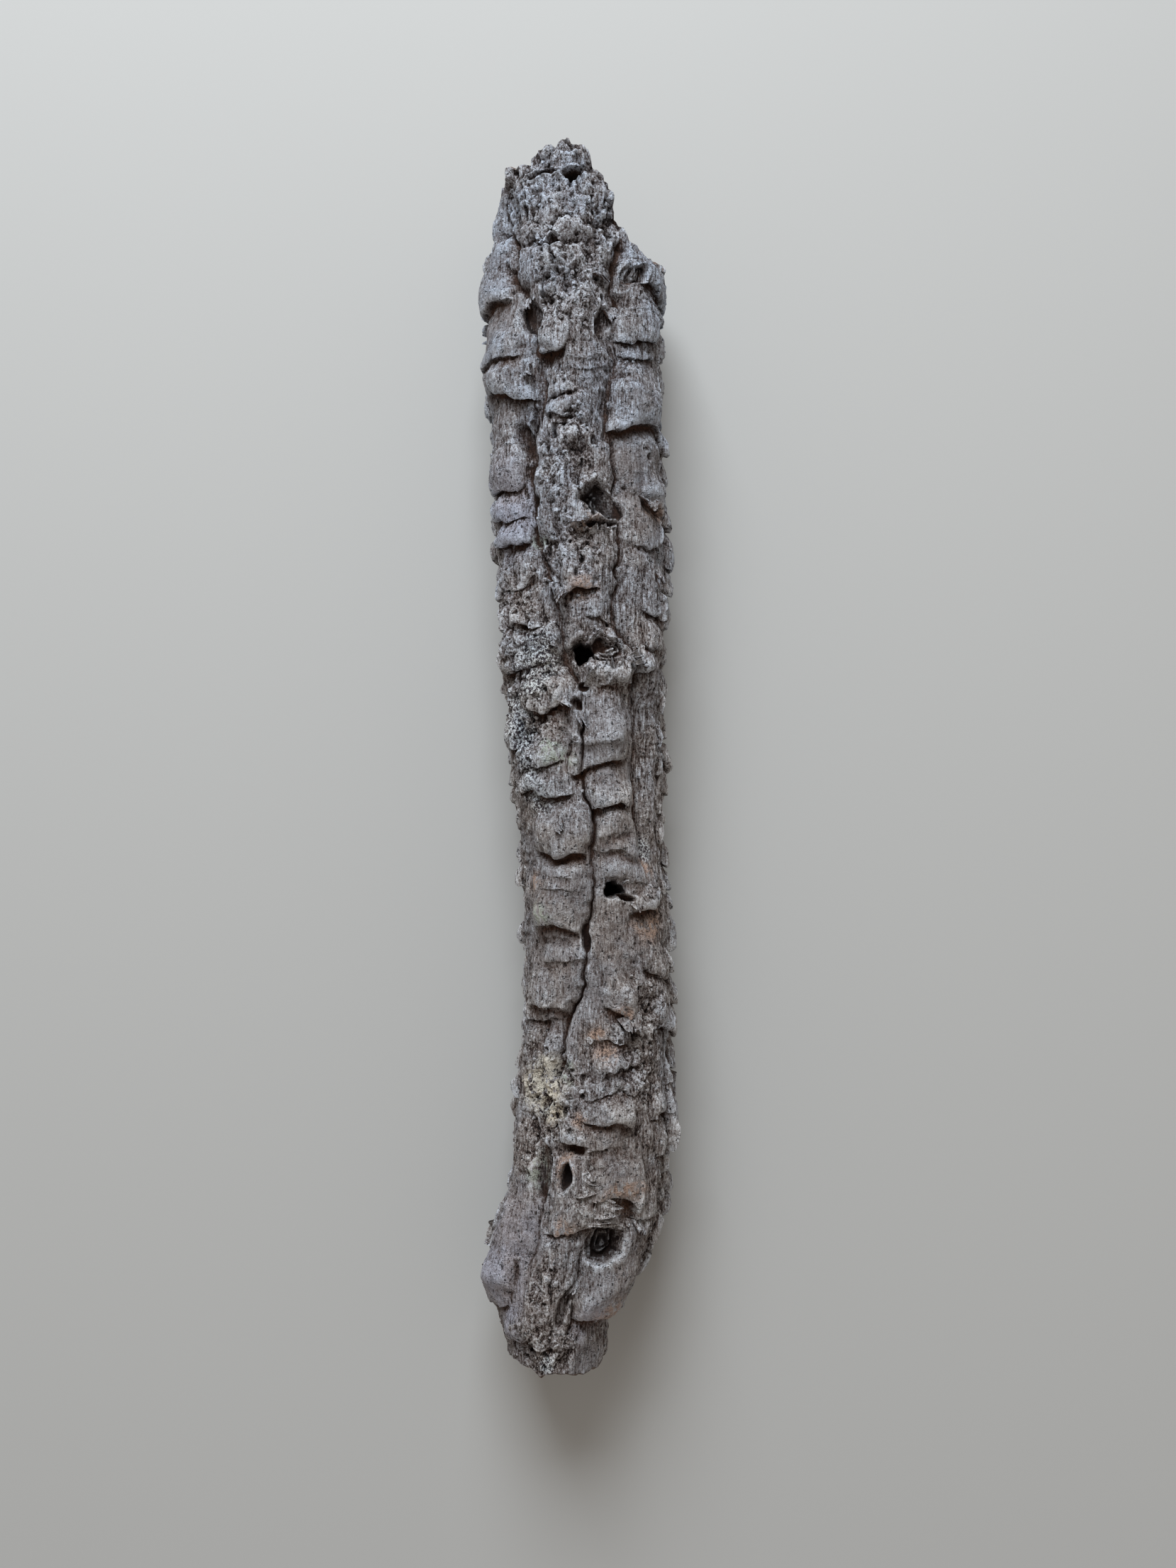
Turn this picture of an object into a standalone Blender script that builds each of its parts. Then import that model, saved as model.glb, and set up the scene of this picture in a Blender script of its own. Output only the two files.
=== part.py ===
"""Cork bark tube: the bark of a cork oak limb, come away whole, lying on its back.

The tube lies along Y with its foot towards -Y and its head towards +Y. Its weathered face,
with the long lobes, shingled rolls and two knot holes, looks up. The bark is one piece, so
it is one solid: a sheet that closes round the limb and over both broken rims.

The tables below are in millimetres and degrees. A height along the tube is measured from
the foot, and an angle is taken round the tube from its crown, positive towards +X. The mesh
is written in metres.
"""
import bpy
import numpy as np
from mathutils import Matrix

MM = 0.001
NAME = "cork_bark_tube"

# The frame's origin, under the middle of the tube
MIDDLE_HEIGHT = 336.0
MIDDLE_ACROSS = -5.7

# The limb: how far the centre line wanders, the half width and the crown's height over the ground
CENTRE = [(-20, -17.5), (0, -17.5), (18, -17.5), (32, -16.2), (48, -11), (64, -5), (80, -1), (105, 2),
          (140, 3), (200, 5.5), (250, 4), (300, 1), (350, -0.5), (400, -3), (450, -3.5), (510, -6),
          (560, -8), (620, -8), (700, -7)]
HALF_WIDTH = [(-20, 27), (-4, 30), (12, 33), (30, 38), (46, 43), (62, 46.5), (90, 46.5), (140, 46.5),
              (200, 45), (260, 44.5), (310, 46), (350, 48.5), (400, 50.5), (460, 52), (520, 52.5),
              (600, 54), (640, 53), (700, 50)]
CROWN = [(-20, 78), (0, 84), (30, 88), (80, 91), (200, 90), (300, 91), (400, 95), (520, 97),
         (620, 97), (700, 93)]
UNDERSIDE = [(-20, 20), (0, 15), (30, 8), (70, 4), (200, 3.6), (350, 4.6), (500, 3.8), (620, 4),
             (700, 7)]

# The two broken rims: angle round the tube, height along it
FOOT_RIM = [(-180, 3), (-140, -3), (-105, -7), (-85, -3), (-60, -1), (-40, -2), (-20, -4), (0, -4),
            (20, -4), (40, -7), (58, -7), (75, -4), (100, 4), (130, 9), (180, 3)]
HEAD_RIM = [(-180, 672), (-150, 674), (-118, 669), (-92, 673), (-72, 668), (-50, 668), (-40, 668),
            (-34, 671), (-28, 677), (-22, 678), (-12, 677), (-2, 678), (6, 674), (9, 669), (11, 663),
            (16, 658), (21, 657), (26, 652), (31, 638), (38, 628), (50, 621), (66, 618), (80, 621),
            (95, 627), (110, 636), (130, 652), (160, 668), (180, 672)]
RIM_REACH = 150.0
RIM_RAGGED = 3.0

# Length of one degree round the tube, on its usual radius
ARC = 0.8

# The wall and the smoother bore that the limb left
WALL = 14.0
WALL_WAVE = 2.0
BORE_RIB = 0.8
LEAST_WALL = 2.5

# How far the bark's middle level lies inside the limb's oval, and how far the rolls swell
BARK_SUNK = 2.2
ROLL_SWELL = 1.45

# Long fissures between the lobes: depth, half width, route as (height, angle)
FISSURES = [
    (9.0, 9.0, [(655, -60), (628, -52), (605, -47), (590, -38), (572, -28), (552, -22), (536, -24),
                (524, -31), (505, -34), (478, -37), (455, -37), (436, -29), (412, -20), (386, -15),
                (362, -5), (340, -7), (318, -7), (304, -4), (290, 0), (258, 0), (240, -2),
                (228, -6), (202, -8), (190, -16), (178, -27), (150, -30)]),
    (9.0, 8.0, [(650, 32), (612, 30), (584, 29), (566, 21), (553, 27), (540, 24), (522, 19),
                      (505, 23), (480, 27), (455, 26), (430, 24), (400, 25), (388, 38), (370, 42),
                      (330, 43), (300, 44), (262, 47)]),
    (6.0, 8.0, [(190, -46), (160, -48), (132, -44), (108, -42), (86, -40), (66, -34), (46, -32)]),
    (7.0, 6.0, [(76, 8), (60, 3), (50, 8), (34, 13), (22, 18), (8, 14)]),
    (7.0, 9.0, [(640, 78), (560, 84), (480, 76), (400, 82), (300, 74), (220, 80), (130, 70), (70, 74)]),
    (8.0, 9.0, [(690, 128), (600, 122), (520, 131), (430, 120), (340, 126), (250, 116), (150, 124),
                (40, 118), (10, 122)]),
    (8.0, 10.0, [(700, 172), (610, 168), (500, 176), (400, 163), (320, 170), (230, 160), (140, 168),
                      (20, 164)]),
    (8.0, 9.0, [(690, -142), (610, -134), (520, -144), (440, -136), (350, -128), (270, -140),
                (170, -132), (90, -138), (0, -130)]),
    (7.0, 9.0, [(680, -96), (600, -101), (520, -94), (450, -99), (360, -92), (290, -86), (200, -94),
                (120, -88), (50, -94)]),
]

# Rolls, which overlap like shingles and hang towards the foot: height of the lip, first and last
# angle, slope and sag of the lip across the roll, how far it stands out, how far up the tube it
# fades, depth of the shadow gap under it
ROLLS = [
    (636, -88, -54, 2, 0, 3.6, 30, 2.5), (592, -88, -46, -2, 0, 4.0, 22, 3.5),
    (556, -80, -36, 1, -3, 3.4, 14, 3.0), (537, -84, -30, -5, 0, 4.2, 15, 4.0),
    (482, -80, -40, 1, 2, 4.6, 28, 4.5), (464, -80, -40, 0, 1, 3.2, 12, 2.5),
    (450, -80, -38, -1, 1, 3.4, 10, 4.0), (426, -84, -34, 1, 2, 2.6, 14, 2.5),
    (402, -84, -30, -2, 1, 2.6, 14, 3.0), (380, -84, -24, 2, 0, 2.4, 14, 2.5),
    (336, -92, -60, 0, 0, 4.0, 12, 2.5), (559, -26, 0, 1, 0, 3.2, 12, 4.5),
    (530, -27, -3, 0, 0, 1.6, 9, 2.0), (520, -27, -3, 0, 0, 1.6, 9, 2.0),
    (600, 32, 78, -2, 0, 3.4, 16, 3.0), (566, 27, 66, 3, 0, 4.0, 24, 3.5),
    (557, 29, 64, 2, 0, 1.6, 7, 2.5), (519, 20, 68, 4, -2, 4.4, 24, 5.0), (474, 44, 80, -3, 0, 3.2, 16, 3.5),
    (448, 28, 80, 1, 1, 1.6, 14, 1.5), (421, -16, 12, 0, -2, 2.6, 16, 4.5),
    (403, 2, 24, 1, 0, 1.8, 12, 1.5), (410, 46, 80, -3, 0, 2.6, 18, 2.5),
    (392, 46, 78, 2, 0, 2.6, 14, 3.5), (369, 4, 34, 2, 1, 3.2, 9, 3.0),
    (376, 34, 56, 0, 3, 3.0, 12, 2.0), (354, -46, -10, 1, 2, 3.4, 22, 6.0),
    (325, -16, 32, 3, -4, 5.5, 26, 4.5), (335, -20, 24, 0, -2, 1.2, 6, 1.2),
    (302, -4, 36, 2, -2, 4.2, 18, 4.5), (308, -62, -12, 0, -1, 3.2, 16, 3.0),
    (322, -62, -16, 2, 1, 2.2, 12, 1.5), (284, 0, 40, 1, 1, 2.6, 14, 2.0),
    (275, 0, 46, -3, 1, 2.2, 8, 2.5), (260, 4, 58, -2, 1, 2.0, 12, 1.5),
    (246, 24, 60, 1, -2, 3.0, 10, 4.5), (276, -48, -3, 0, -1, 3.6, 18, 4.5),
    (262, -46, -4, -1, 0, 1.6, 8, 1.5), (255, -44, -6, 2, 0, 1.6, 8, 1.2),
    (235, -54, -8, 2, -3, 3.8, 20, 4.5), (226, -62, -14, 2, 0, 1.4, 8, 1.5),
    (215, -44, -6, 0, 0, 1.6, 9, 1.5), (190, -64, -20, -3, -2, 2.8, 18, 3.5),
    (184, -82, -26, -2, 0, 2.0, 8, 2.5), (188, 4, 32, -3, 0, 3.4, 20, 3.0),
    (178, 40, 86, 2, 0, 3.4, 20, 2.5), (206, 34, 84, -2, 0, 2.0, 16, 2.0),
    (172, -4, 30, -1, -2, 2.2, 12, 2.0), (158, -2, 34, 1, -1, 2.0, 10, 1.5),
    (146, -12, 36, 0, -2, 2.2, 12, 1.5), (131, -14, 30, -4, -3, 3.4, 14, 3.5),
    (117, -12, 32, 0, -2, 2.0, 12, 1.5), (120, -28, -8, -2, 0, 3.2, 12, 4.0),
    (88, -2, 38, -4, -1, 4.2, 28, 4.5), (78, 30, 60, -3, 0, 2.6, 20, 2.0),
    (76, -28, 16, 1, -3, 3.6, 16, 3.0), (134, 44, 84, 0, -2, 3.0, 16, 3.0),
    (112, 48, 84, 1, 0, 2.2, 16, 2.0), (22, 16, 70, 2, 5, 4.5, 34, 4.0),
    (28, -86, -44, 3, 0, 4.0, 46, 3.0), (10, -60, 6, 1, 2, 1.6, 12, 1.0),
]

# Rolls of the side and back lobes, which follow the same habit at random
SIDE_LOBES = [(66, 82), (82, 122), (120, 166), (164, 224), (-138, -98), (-98, -84)]
SIDE_ROLL_PITCH = (11, 27)
SIDE_SEED = 29

# Knots and pits: height, angle, half length, half width, depth, raised rim, lean across the tube
KNOTS = [
    (471, 12, 7, 8, 7.0, 1.2, 0), (460, 15, 2.4, 8, 5.0, 0.4, 0), (467, 22, 4, 4, 3.2, 1.8, 0),
    (466, 3, 6, 4, 4.0, 0.0, -20), (384, -1, 8, 7, 3.5, 0.8, 0),
    (384, 18, 10, 12, 3.6, 1.4, 0), (387, 13, 4, 6, 4.4, 0.0, 0), (383, -14, 5, 6, 3.5, 0.0, 0),
    (254, 14, 4.5, 5.5, 4.5, 0.4, 10),
    (251, 24, 2, 5, 4.0, 0.0, 15), (100, -18, 8, 4, 7.0, 1.4, 0), (64, 20, 10, 9, 5.0, 0.8, 10),
    (100, -41, 17, 8, 4.5, 0.0, 0), (139, -42, 4, 6, 4.5, 0.6, 0), (577, -30, 11, 7, 5.5, 0.6, -14),
    (574, 21, 9, 4, 5.0, 0.4, 8), (508, -41, 12, 5, 4.0, 0.0, -14), (660, -1, 4, 6, 6.0, 0.8, 0),
    (661, -22, 2.4, 11, 3.5, 0.4, -6), (604, 40, 5, 6, 4.5, 0.8, 0), (618, -14, 4, 4, 4.5, 0.6, 0),
    (228, -7, 9, 3.4, 6.0, 0.0, 0), (474, -33, 4, 4, 4.0, 0.0, 0), (365, -3, 3, 3.5, 4.0, 0.4, 0),
    (356, -8, 3, 3, 3.5, 0.4, 0), (115, -15, 3, 6, 4.0, 0.4, 10), (32, 5, 14, 5, 4.0, 0.0, 14),
    (430, 150, 10, 11, 6.0, 1.4, 0), (210, -115, 9, 8, 5.0, 1.2, 0), (560, -118, 8, 9, 5.0, 1.2, 10),
    (300, 98, 7, 8, 4.5, 1.0, 0), (120, 145, 9, 8, 4.5, 1.2, 0), (520, 104, 6, 7, 4.0, 1.0, 0),
]

# The two knot holes that go right through the wall: height, angle, half length, half width
THROUGH_HOLES = [(384, -1, 6.2, 5.6), (254, 14, 4.2, 5.2)]

# How far outside and inside the limb's oval a hole's plug reaches
PLUG_REACH = (9.0, -30.0)

# Crusted patches, rough with lumps: height, angle, half length, half width
CRUSTS = [(652, -12, 46, 44), (596, -4, 34, 20), (500, -8, 40, 16), (372, -52, 64, 26), (440, -12, 28, 18),
          (140, -42, 34, 22), (44, -16, 14, 10), (10, -12, 14, 28), (66, 20, 11, 11), (468, 14, 14, 14),
          (384, 20, 14, 16), (170, 28, 34, 18), (500, 150, 60, 30), (250, -160, 70, 30), (90, -120, 50, 26)]

# Calm places, where the rolls round over slowly: height, angle, half length, half width
CALM_PATCHES = [(232, -28, 72, 26), (262, 22, 52, 26), (212, 12, 40, 20), (490, 48, 46, 22), (580, -66, 66, 24),
                (110, 16, 34, 22), (56, -48, 40, 30), (40, 40, 30, 22), (330, 10, 30, 24), (5, 40, 18, 24)]

# How far the limb's growth has pulled every feature out of true, along and round the tube
WARP_ALONG = 3.4
WARP_ROUND = 4.0

# Where the left lobe has lost its bark near the head, and where the foot's right side has
BARE_STEPS = [(634, 700, -118, -54, 6.0), (-20, 20, 22, 110, 3.0)]

# Three worn spots that the tube rests on: height, angle, half length, half width
REST_SPOTS = [(95, 180, 16, 13), (545, 154, 16, 13), (560, -154, 16, 13)]
REST_DEPTH = -1.2
CLEARANCE = 1.1

# Fineness of the sheet before it is thinned where it is plain
STEPS_ROUND = 176
ROWS_OUTSIDE = 214
ROWS_RIM = 3
ROWS_INSIDE = 36
KEPT_SHARE = 0.115

BARK_COLOUR = (0.235, 0.200, 0.168, 1.0)


def along(height, table):
    """A quantity along the tube, running smoothly through the table's points."""
    heights, values = np.array(table, float).T
    slopes = np.gradient(values, heights)
    i = np.clip(np.searchsorted(heights, height) - 1, 0, len(heights) - 2)
    span = heights[i + 1] - heights[i]
    t = np.clip((height - heights[i]) / span, 0, 1)
    return ((1 + 2 * t) * (1 - t) ** 2 * values[i] + t * (1 - t) ** 2 * span * slopes[i]
            + t * t * (3 - 2 * t) * values[i + 1] + t * t * (t - 1) * span * slopes[i + 1])


def turned(angle):
    """An angle brought into -180 to 180 degrees."""
    return (angle + 180) % 360 - 180


def cell_value(x, y, z, seed):
    """A repeatable random value from 0 to 1 for each whole-numbered cell of space."""
    mixed = (x * 374761393 + y * 668265263 + z * 1440662683 + seed * 974711) & 0xFFFFFFFF
    mixed = ((mixed ^ (mixed >> 13)) * 1274126177) & 0xFFFFFFFF
    return ((mixed ^ (mixed >> 16)) & 0xFFFF) / 65535.0


def noise(points, size, seed):
    """Smooth noise from -1 to 1: cell corners' random values, eased from one to the next."""
    scaled = points / size
    cell = np.floor(scaled).astype(np.int64)
    f = scaled - cell
    f = f * f * f * (f * (f * 6 - 15) + 10)
    total = 0.0
    for dx in (0, 1):
        for dy in (0, 1):
            for dz in (0, 1):
                weight = (np.abs(1 - dx - f[..., 0]) * np.abs(1 - dy - f[..., 1])
                          * np.abs(1 - dz - f[..., 2]))
                total = total + weight * cell_value(cell[..., 0] + dx, cell[..., 1] + dy,
                                                    cell[..., 2] + dz, seed)
    return 2 * total - 1


def limb_point(height, angle, swell):
    """A point on the limb's oval section, pushed out by a swell, in millimetres from the foot."""
    crown, under = along(height, CROWN), along(height, UNDERSIDE)
    half_width = along(height, HALF_WIDTH) + swell
    half_depth = (crown - under) / 2 + swell
    turn = np.radians(angle)
    return np.stack([along(height, CENTRE) + half_width * np.sin(turn), height + 0 * turn,
                     (crown + under) / 2 + half_depth * np.cos(turn)], -1)


def side_rolls():
    """Rolls of the side and back lobes: lips one above another at uneven steps."""
    draw = np.random.RandomState(SIDE_SEED)
    rolls = []
    for first, last in SIDE_LOBES:
        lip = draw.uniform(10, 24)
        while lip < 660:
            inset = draw.uniform(-2, 8, 2)
            rolls.append((lip, first + inset[0], last - inset[1], draw.uniform(-4, 4), draw.uniform(-3, 3),
                          draw.uniform(1.2, 3.8), draw.uniform(10, 24), draw.uniform(1.4, 4.2)))
            lip += draw.uniform(*SIDE_ROLL_PITCH)
    return rolls


def fissure_relief(height, angle, soft):
    """Depth of the long valleys: a rounded shoulder that falls into a narrow crease."""
    relief = np.zeros_like(height)
    for depth, half_width, route in FISSURES:
        heights, angles = np.array(route[::-1], float).T
        across = np.abs(turned(angle - np.interp(height, heights, angles))) * ARC
        ends = (np.clip((height - heights[0] + 12) / 24, 0, 1)
                * np.clip((heights[-1] + 12 - height) / 24, 0, 1))
        valley = 0.72 * np.exp(-across / half_width) + 0.28 * np.exp(-(across / 2.2) ** 2)
        relief = np.minimum(relief, -depth * (1 - 0.3 * soft) * ends * valley)
    return relief


def roll_relief(height, angle, rolls, soft):
    """Height of the shingled rolls, and how far their lips hang towards the foot.

    Each roll has a round nose at its lip and fades up the tube. Where the bark is soft the nose
    is longer and hangs less.
    """
    relief, hang = np.zeros_like(height), np.zeros_like(height)
    for lip, first, last, slope, sag, stand, fade, gap in rolls:
        q = turned(angle - (first + last) / 2) / ((last - first) / 2)
        window = np.clip(1 - np.abs(q) ** 5, 0, 1)
        t = height - (lip + slope * q + sag * q * q)
        swell = ROLL_SWELL * stand
        nose = np.sqrt(1 - (1 - np.clip((t + 1.2) / ((1.1 + 1.5 * soft) * swell + 1.2), 0, 1)) ** 2)
        body = nose * np.exp(-(np.maximum(t / fade - 0.3, 0) / 0.85) ** 1.7)
        relief += window * (swell * body * (1 - 0.3 * q * q) - 0.85 * gap * np.exp(-((t + 3.8) / 2.8) ** 2))
        hang += window * (0.6 - 0.25 * soft) * swell * np.exp(-((t - 1.0) / 2.6) ** 2)
    return relief, hang


def knot_relief(height, angle):
    """Pits with a raised rim: a smooth bowl inside the oval, a low ridge along its edge."""
    relief = np.zeros_like(height)
    for middle, turn, half_length, half_width, depth, rim, lean in KNOTS:
        across = turned(angle - turn) * ARC
        up = height - middle
        tilt = np.radians(lean)
        r = np.hypot((up * np.cos(tilt) + across * np.sin(tilt)) / half_length,
                     (across * np.cos(tilt) - up * np.sin(tilt)) / half_width)
        relief += rim * np.exp(-((r - 1.15) / 0.28) ** 2) - 1.1 * depth * np.exp(-(r / 0.82) ** 4)
    return relief


def step_relief(height, angle):
    """Where the outer bark is gone: the face steps in over a few millimetres."""
    relief = np.zeros_like(height)
    for low, high, first, last, drop in BARE_STEPS:
        q = turned(angle - (first + last) / 2) / ((last - first) / 2)
        inside = np.clip(1 - np.abs(q) ** 8, 0, 1)
        relief -= (drop * inside * np.clip((height - low + 3) / 6, 0, 1)
                   * np.clip((high + 3 - height) / 6, 0, 1))
    return relief


def patch_share(height, angle, patches):
    """How far each point lies inside soft-edged oval patches, from 0 to 1."""
    share = np.zeros_like(height)
    for middle, turn, half_length, half_width in patches:
        r = np.hypot((height - middle) / half_length, turned(angle - turn) * ARC / half_width)
        share = np.maximum(share, np.exp(-r ** 4))
    return share


def crust_lumps(points):
    """The crust's lumps: a noise folded at its middle, so that they part at sharp nooks, longer up the limb."""
    place = points + 1.3 * np.stack([noise(points, 4.0, seed) for seed in (201, 202, 203)], -1)
    place = place + 2.4 * np.stack([noise(place, 9.0, seed) for seed in (204, 205, 206)], -1)
    lump = np.abs(noise(place * np.array([1.0, 0.55, 1.0]), 8.0, 10))
    return 5.0 * np.minimum(lump, 0.5) ** 0.8 - 1.8


def outer_face(height, angle):
    """The weathered face: valleys, rolls, knots and steps on the wandering limb."""
    base = limb_point(height, angle, 0.0)
    pulled_height = height + WARP_ALONG * (noise(base, 19.0, 41) + 0.5 * noise(base, 8.0, 43))
    pulled_angle = angle + WARP_ROUND * (noise(base, 24.0, 47) + 0.5 * noise(base, 9.0, 49))
    crust = np.clip(patch_share(pulled_height, pulled_angle, CRUSTS) + 0.35 * noise(base, 13.0, 87), 0, 1)
    calm = patch_share(pulled_height, pulled_angle, CALM_PATCHES) * (1 - crust)
    rolls, hang = roll_relief(pulled_height, pulled_angle, ROLLS + side_rolls(), calm)
    uneven = 1 + 0.45 * noise(base, 15.0, 53)
    relief = fissure_relief(pulled_height, pulled_angle, calm) + rolls * uneven
    relief += knot_relief(0.4 * height + 0.6 * pulled_height, 0.4 * angle + 0.6 * pulled_angle)
    relief += step_relief(height, angle) + crust * crust_lumps(base)
    relief += 1.8 * noise(base, 27.0, 3) + (1.0 + 2.0 * crust) * noise(base, 11.0, 5)
    relief = np.maximum(relief, LEAST_WALL + BORE_RIB + BARK_SUNK - wall_left(base, height))
    points = limb_point(height, angle, relief - BARK_SUNK)
    points[..., 1] -= hang * np.clip(height / 30, 0, 1)
    rest = patch_share(height, angle, REST_SPOTS)
    points[..., 2] = np.maximum(points[..., 2], CLEARANCE) * (1 - rest) + REST_DEPTH * rest
    return points


def wall_left(points, height):
    """How thick the limb left the wall: uneven, and thinner towards the foot."""
    wall = WALL + WALL_WAVE * noise(points, 60.0, 11) + 0.8 * noise(points, 18.0, 13)
    return wall * np.clip(0.72 + height / 140, 0.72, 1)


def bore_face(height, angle):
    """The inner face: smooth, with low ribs along the limb and an uneven wall."""
    base = limb_point(height, angle, 0.0)
    ribs = BORE_RIB * np.sin(np.radians(angle * 17) + 2.0 * noise(base, 90.0, 17))
    return limb_point(height, angle, ribs - wall_left(base, height))


def rim_heights(angle):
    """Heights of both broken rims round the tube, with their small teeth."""
    teeth = np.stack([np.sin(np.radians(angle)), np.cos(np.radians(angle)), 0 * angle], -1) * 46
    foot = along(angle, FOOT_RIM) + RIM_RAGGED * 0.5 * noise(teeth, 7.0, 19)
    head = along(angle, HEAD_RIM) + RIM_RAGGED * noise(teeth, 6.0, 23)
    return foot, head


def sheet_points():
    """Every point of the closed sheet: up the outer face, over the head, down the bore, under the foot."""
    angle = -180 + 360 * (np.arange(STEPS_ROUND) / STEPS_ROUND)[:, None]
    foot, head = rim_heights(angle)
    foot_level, head_level = foot.mean(), head.mean()

    def heights(rows):
        level = np.linspace(foot_level, head_level, rows)[None, :]
        near_foot = np.clip(1 - (level - foot_level) / RIM_REACH, 0, 1) ** 2
        near_head = np.clip(1 - (head_level - level) / RIM_REACH, 0, 1) ** 2
        return level + (foot - foot_level) * near_foot + (head - head_level) * near_head

    outside = heights(ROWS_OUTSIDE)
    inside = heights(ROWS_INSIDE)[:, ::-1]
    outer = outer_face(outside, angle + 0 * outside)
    inner = bore_face(inside, angle + 0 * inside)

    def rim(edge, far_edge, bulge):
        share = (np.arange(1, ROWS_RIM + 1) / (ROWS_RIM + 1))[None, :, None]
        band = edge[:, None] * (1 - share) + far_edge[:, None] * share
        rough = noise(band, 5.0, 31)
        band[..., 1] += bulge * (np.sin(np.pi * share[..., 0]) * 1.5 + 1.2 * rough)
        return band

    return np.concatenate([outer, rim(outer[:, -1], inner[:, 0], 1), inner,
                           rim(inner[:, -1], outer[:, 0], -1)], axis=1)


def to_frame(points):
    """Millimetres from the foot to metres in the part's frame."""
    return (points - np.array([MIDDLE_ACROSS, MIDDLE_HEIGHT, 0.0])) * MM


def bark_material():
    """Grey-brown weathered cork: dry and dull."""
    material = bpy.data.materials.new("cork_bark")
    material.use_nodes = True
    shader = material.node_tree.nodes["Principled BSDF"]
    shader.inputs["Base Color"].default_value = BARK_COLOUR
    shader.inputs["Roughness"].default_value = 0.92
    shader.inputs["Metallic"].default_value = 0.0
    material.diffuse_color = BARK_COLOUR
    return material


def bark_sheet(collection):
    """A torus closes the same two ways as the bark, so its points are laid out along the sheet."""
    points = to_frame(sheet_points())
    bpy.ops.mesh.primitive_torus_add(major_segments=points.shape[0], minor_segments=points.shape[1],
                                     major_radius=0.3, minor_radius=0.1, generate_uvs=False)
    tube = bpy.context.active_object
    tube.name = tube.data.name = NAME
    tube.data.vertices.foreach_set("co", points.reshape(-1))
    tube.data.update()
    for holder in list(tube.users_collection):
        holder.objects.unlink(tube)
    collection.objects.link(tube)
    return tube


def hole_cutter(collection, number, middle, turn, half_length, half_width):
    """A plug shaped like the knot that fell out, wider on the weathered side."""
    outside, inside = to_frame(limb_point(np.full(2, middle), np.full(2, turn), np.array(PLUG_REACH)))
    bpy.ops.mesh.primitive_cone_add(vertices=14, radius1=0.82, radius2=1.12, depth=1.0)
    plug = bpy.context.active_object
    plug.name = f"knot_plug_{number}"
    axis = outside - inside
    length = float(np.linalg.norm(axis))
    axis = axis / length
    along_tube = np.array([0.0, 1.0, 0.0])
    across = np.cross(along_tube, axis)
    local = np.empty(len(plug.data.vertices) * 3)
    plug.data.vertices.foreach_get("co", local)
    local = local.reshape(-1, 3)
    placed = ((outside + inside) / 2 + local[:, :1] * across * half_width * MM
              + local[:, 1:2] * along_tube * half_length * MM + local[:, 2:] * axis * length)
    plug.data.vertices.foreach_set("co", placed.reshape(-1))
    plug.data.update()
    plug.hide_render = True
    plug.display_type = "WIRE"
    for holder in list(plug.users_collection):
        holder.objects.unlink(plug)
    collection.objects.link(plug)
    return plug


def ground_cutter(collection):
    """The flat ground that wore the resting spots: a block whose top is level with them."""
    bpy.ops.mesh.primitive_cube_add(size=1.0)
    ground = bpy.context.active_object
    ground.name = "ground"
    ground.data.transform(Matrix.Diagonal((0.4, 1.0, 0.02, 1.0)))
    ground.data.transform(Matrix.Translation((0.0, 0.0, -0.01)))
    ground.hide_render = True
    ground.display_type = "WIRE"
    for holder in list(ground.users_collection):
        holder.objects.unlink(ground)
    collection.objects.link(ground)
    return ground


def main():
    for old in list(bpy.data.objects):
        bpy.data.objects.remove(old)
    model = bpy.data.collections.new("cork bark tube")
    cutters = bpy.data.collections.new("cutters")
    for collection in (model, cutters):
        bpy.context.scene.collection.children.link(collection)
    tube = bark_sheet(model)
    for number, hole in enumerate(THROUGH_HOLES, 1):
        cut = tube.modifiers.new(f"knot hole {number}", "BOOLEAN")
        cut.object = hole_cutter(cutters, number, *hole)
    thin = tube.modifiers.new("fewer facets where plain", "DECIMATE")
    thin.ratio = KEPT_SHARE
    worn = tube.modifiers.new("worn flat", "BOOLEAN")
    worn.object = ground_cutter(cutters)
    tube.data.materials.append(bark_material())
    tube.data.shade_smooth()


main()
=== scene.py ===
"""Looks of the cork bark tube: one fine sheet of weathered bark, closed round the bore.

The tube lies along Y with its foot towards -Y and its weathered face up. The tables are in
millimetres and degrees: a height along the tube is measured from the foot, and an angle is
taken round the tube from its crown, positive towards +X. The meshes are in metres.
"""
from math import pi, radians

import bmesh
import bpy
import numpy as np
from mathutils import Matrix, Vector


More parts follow.
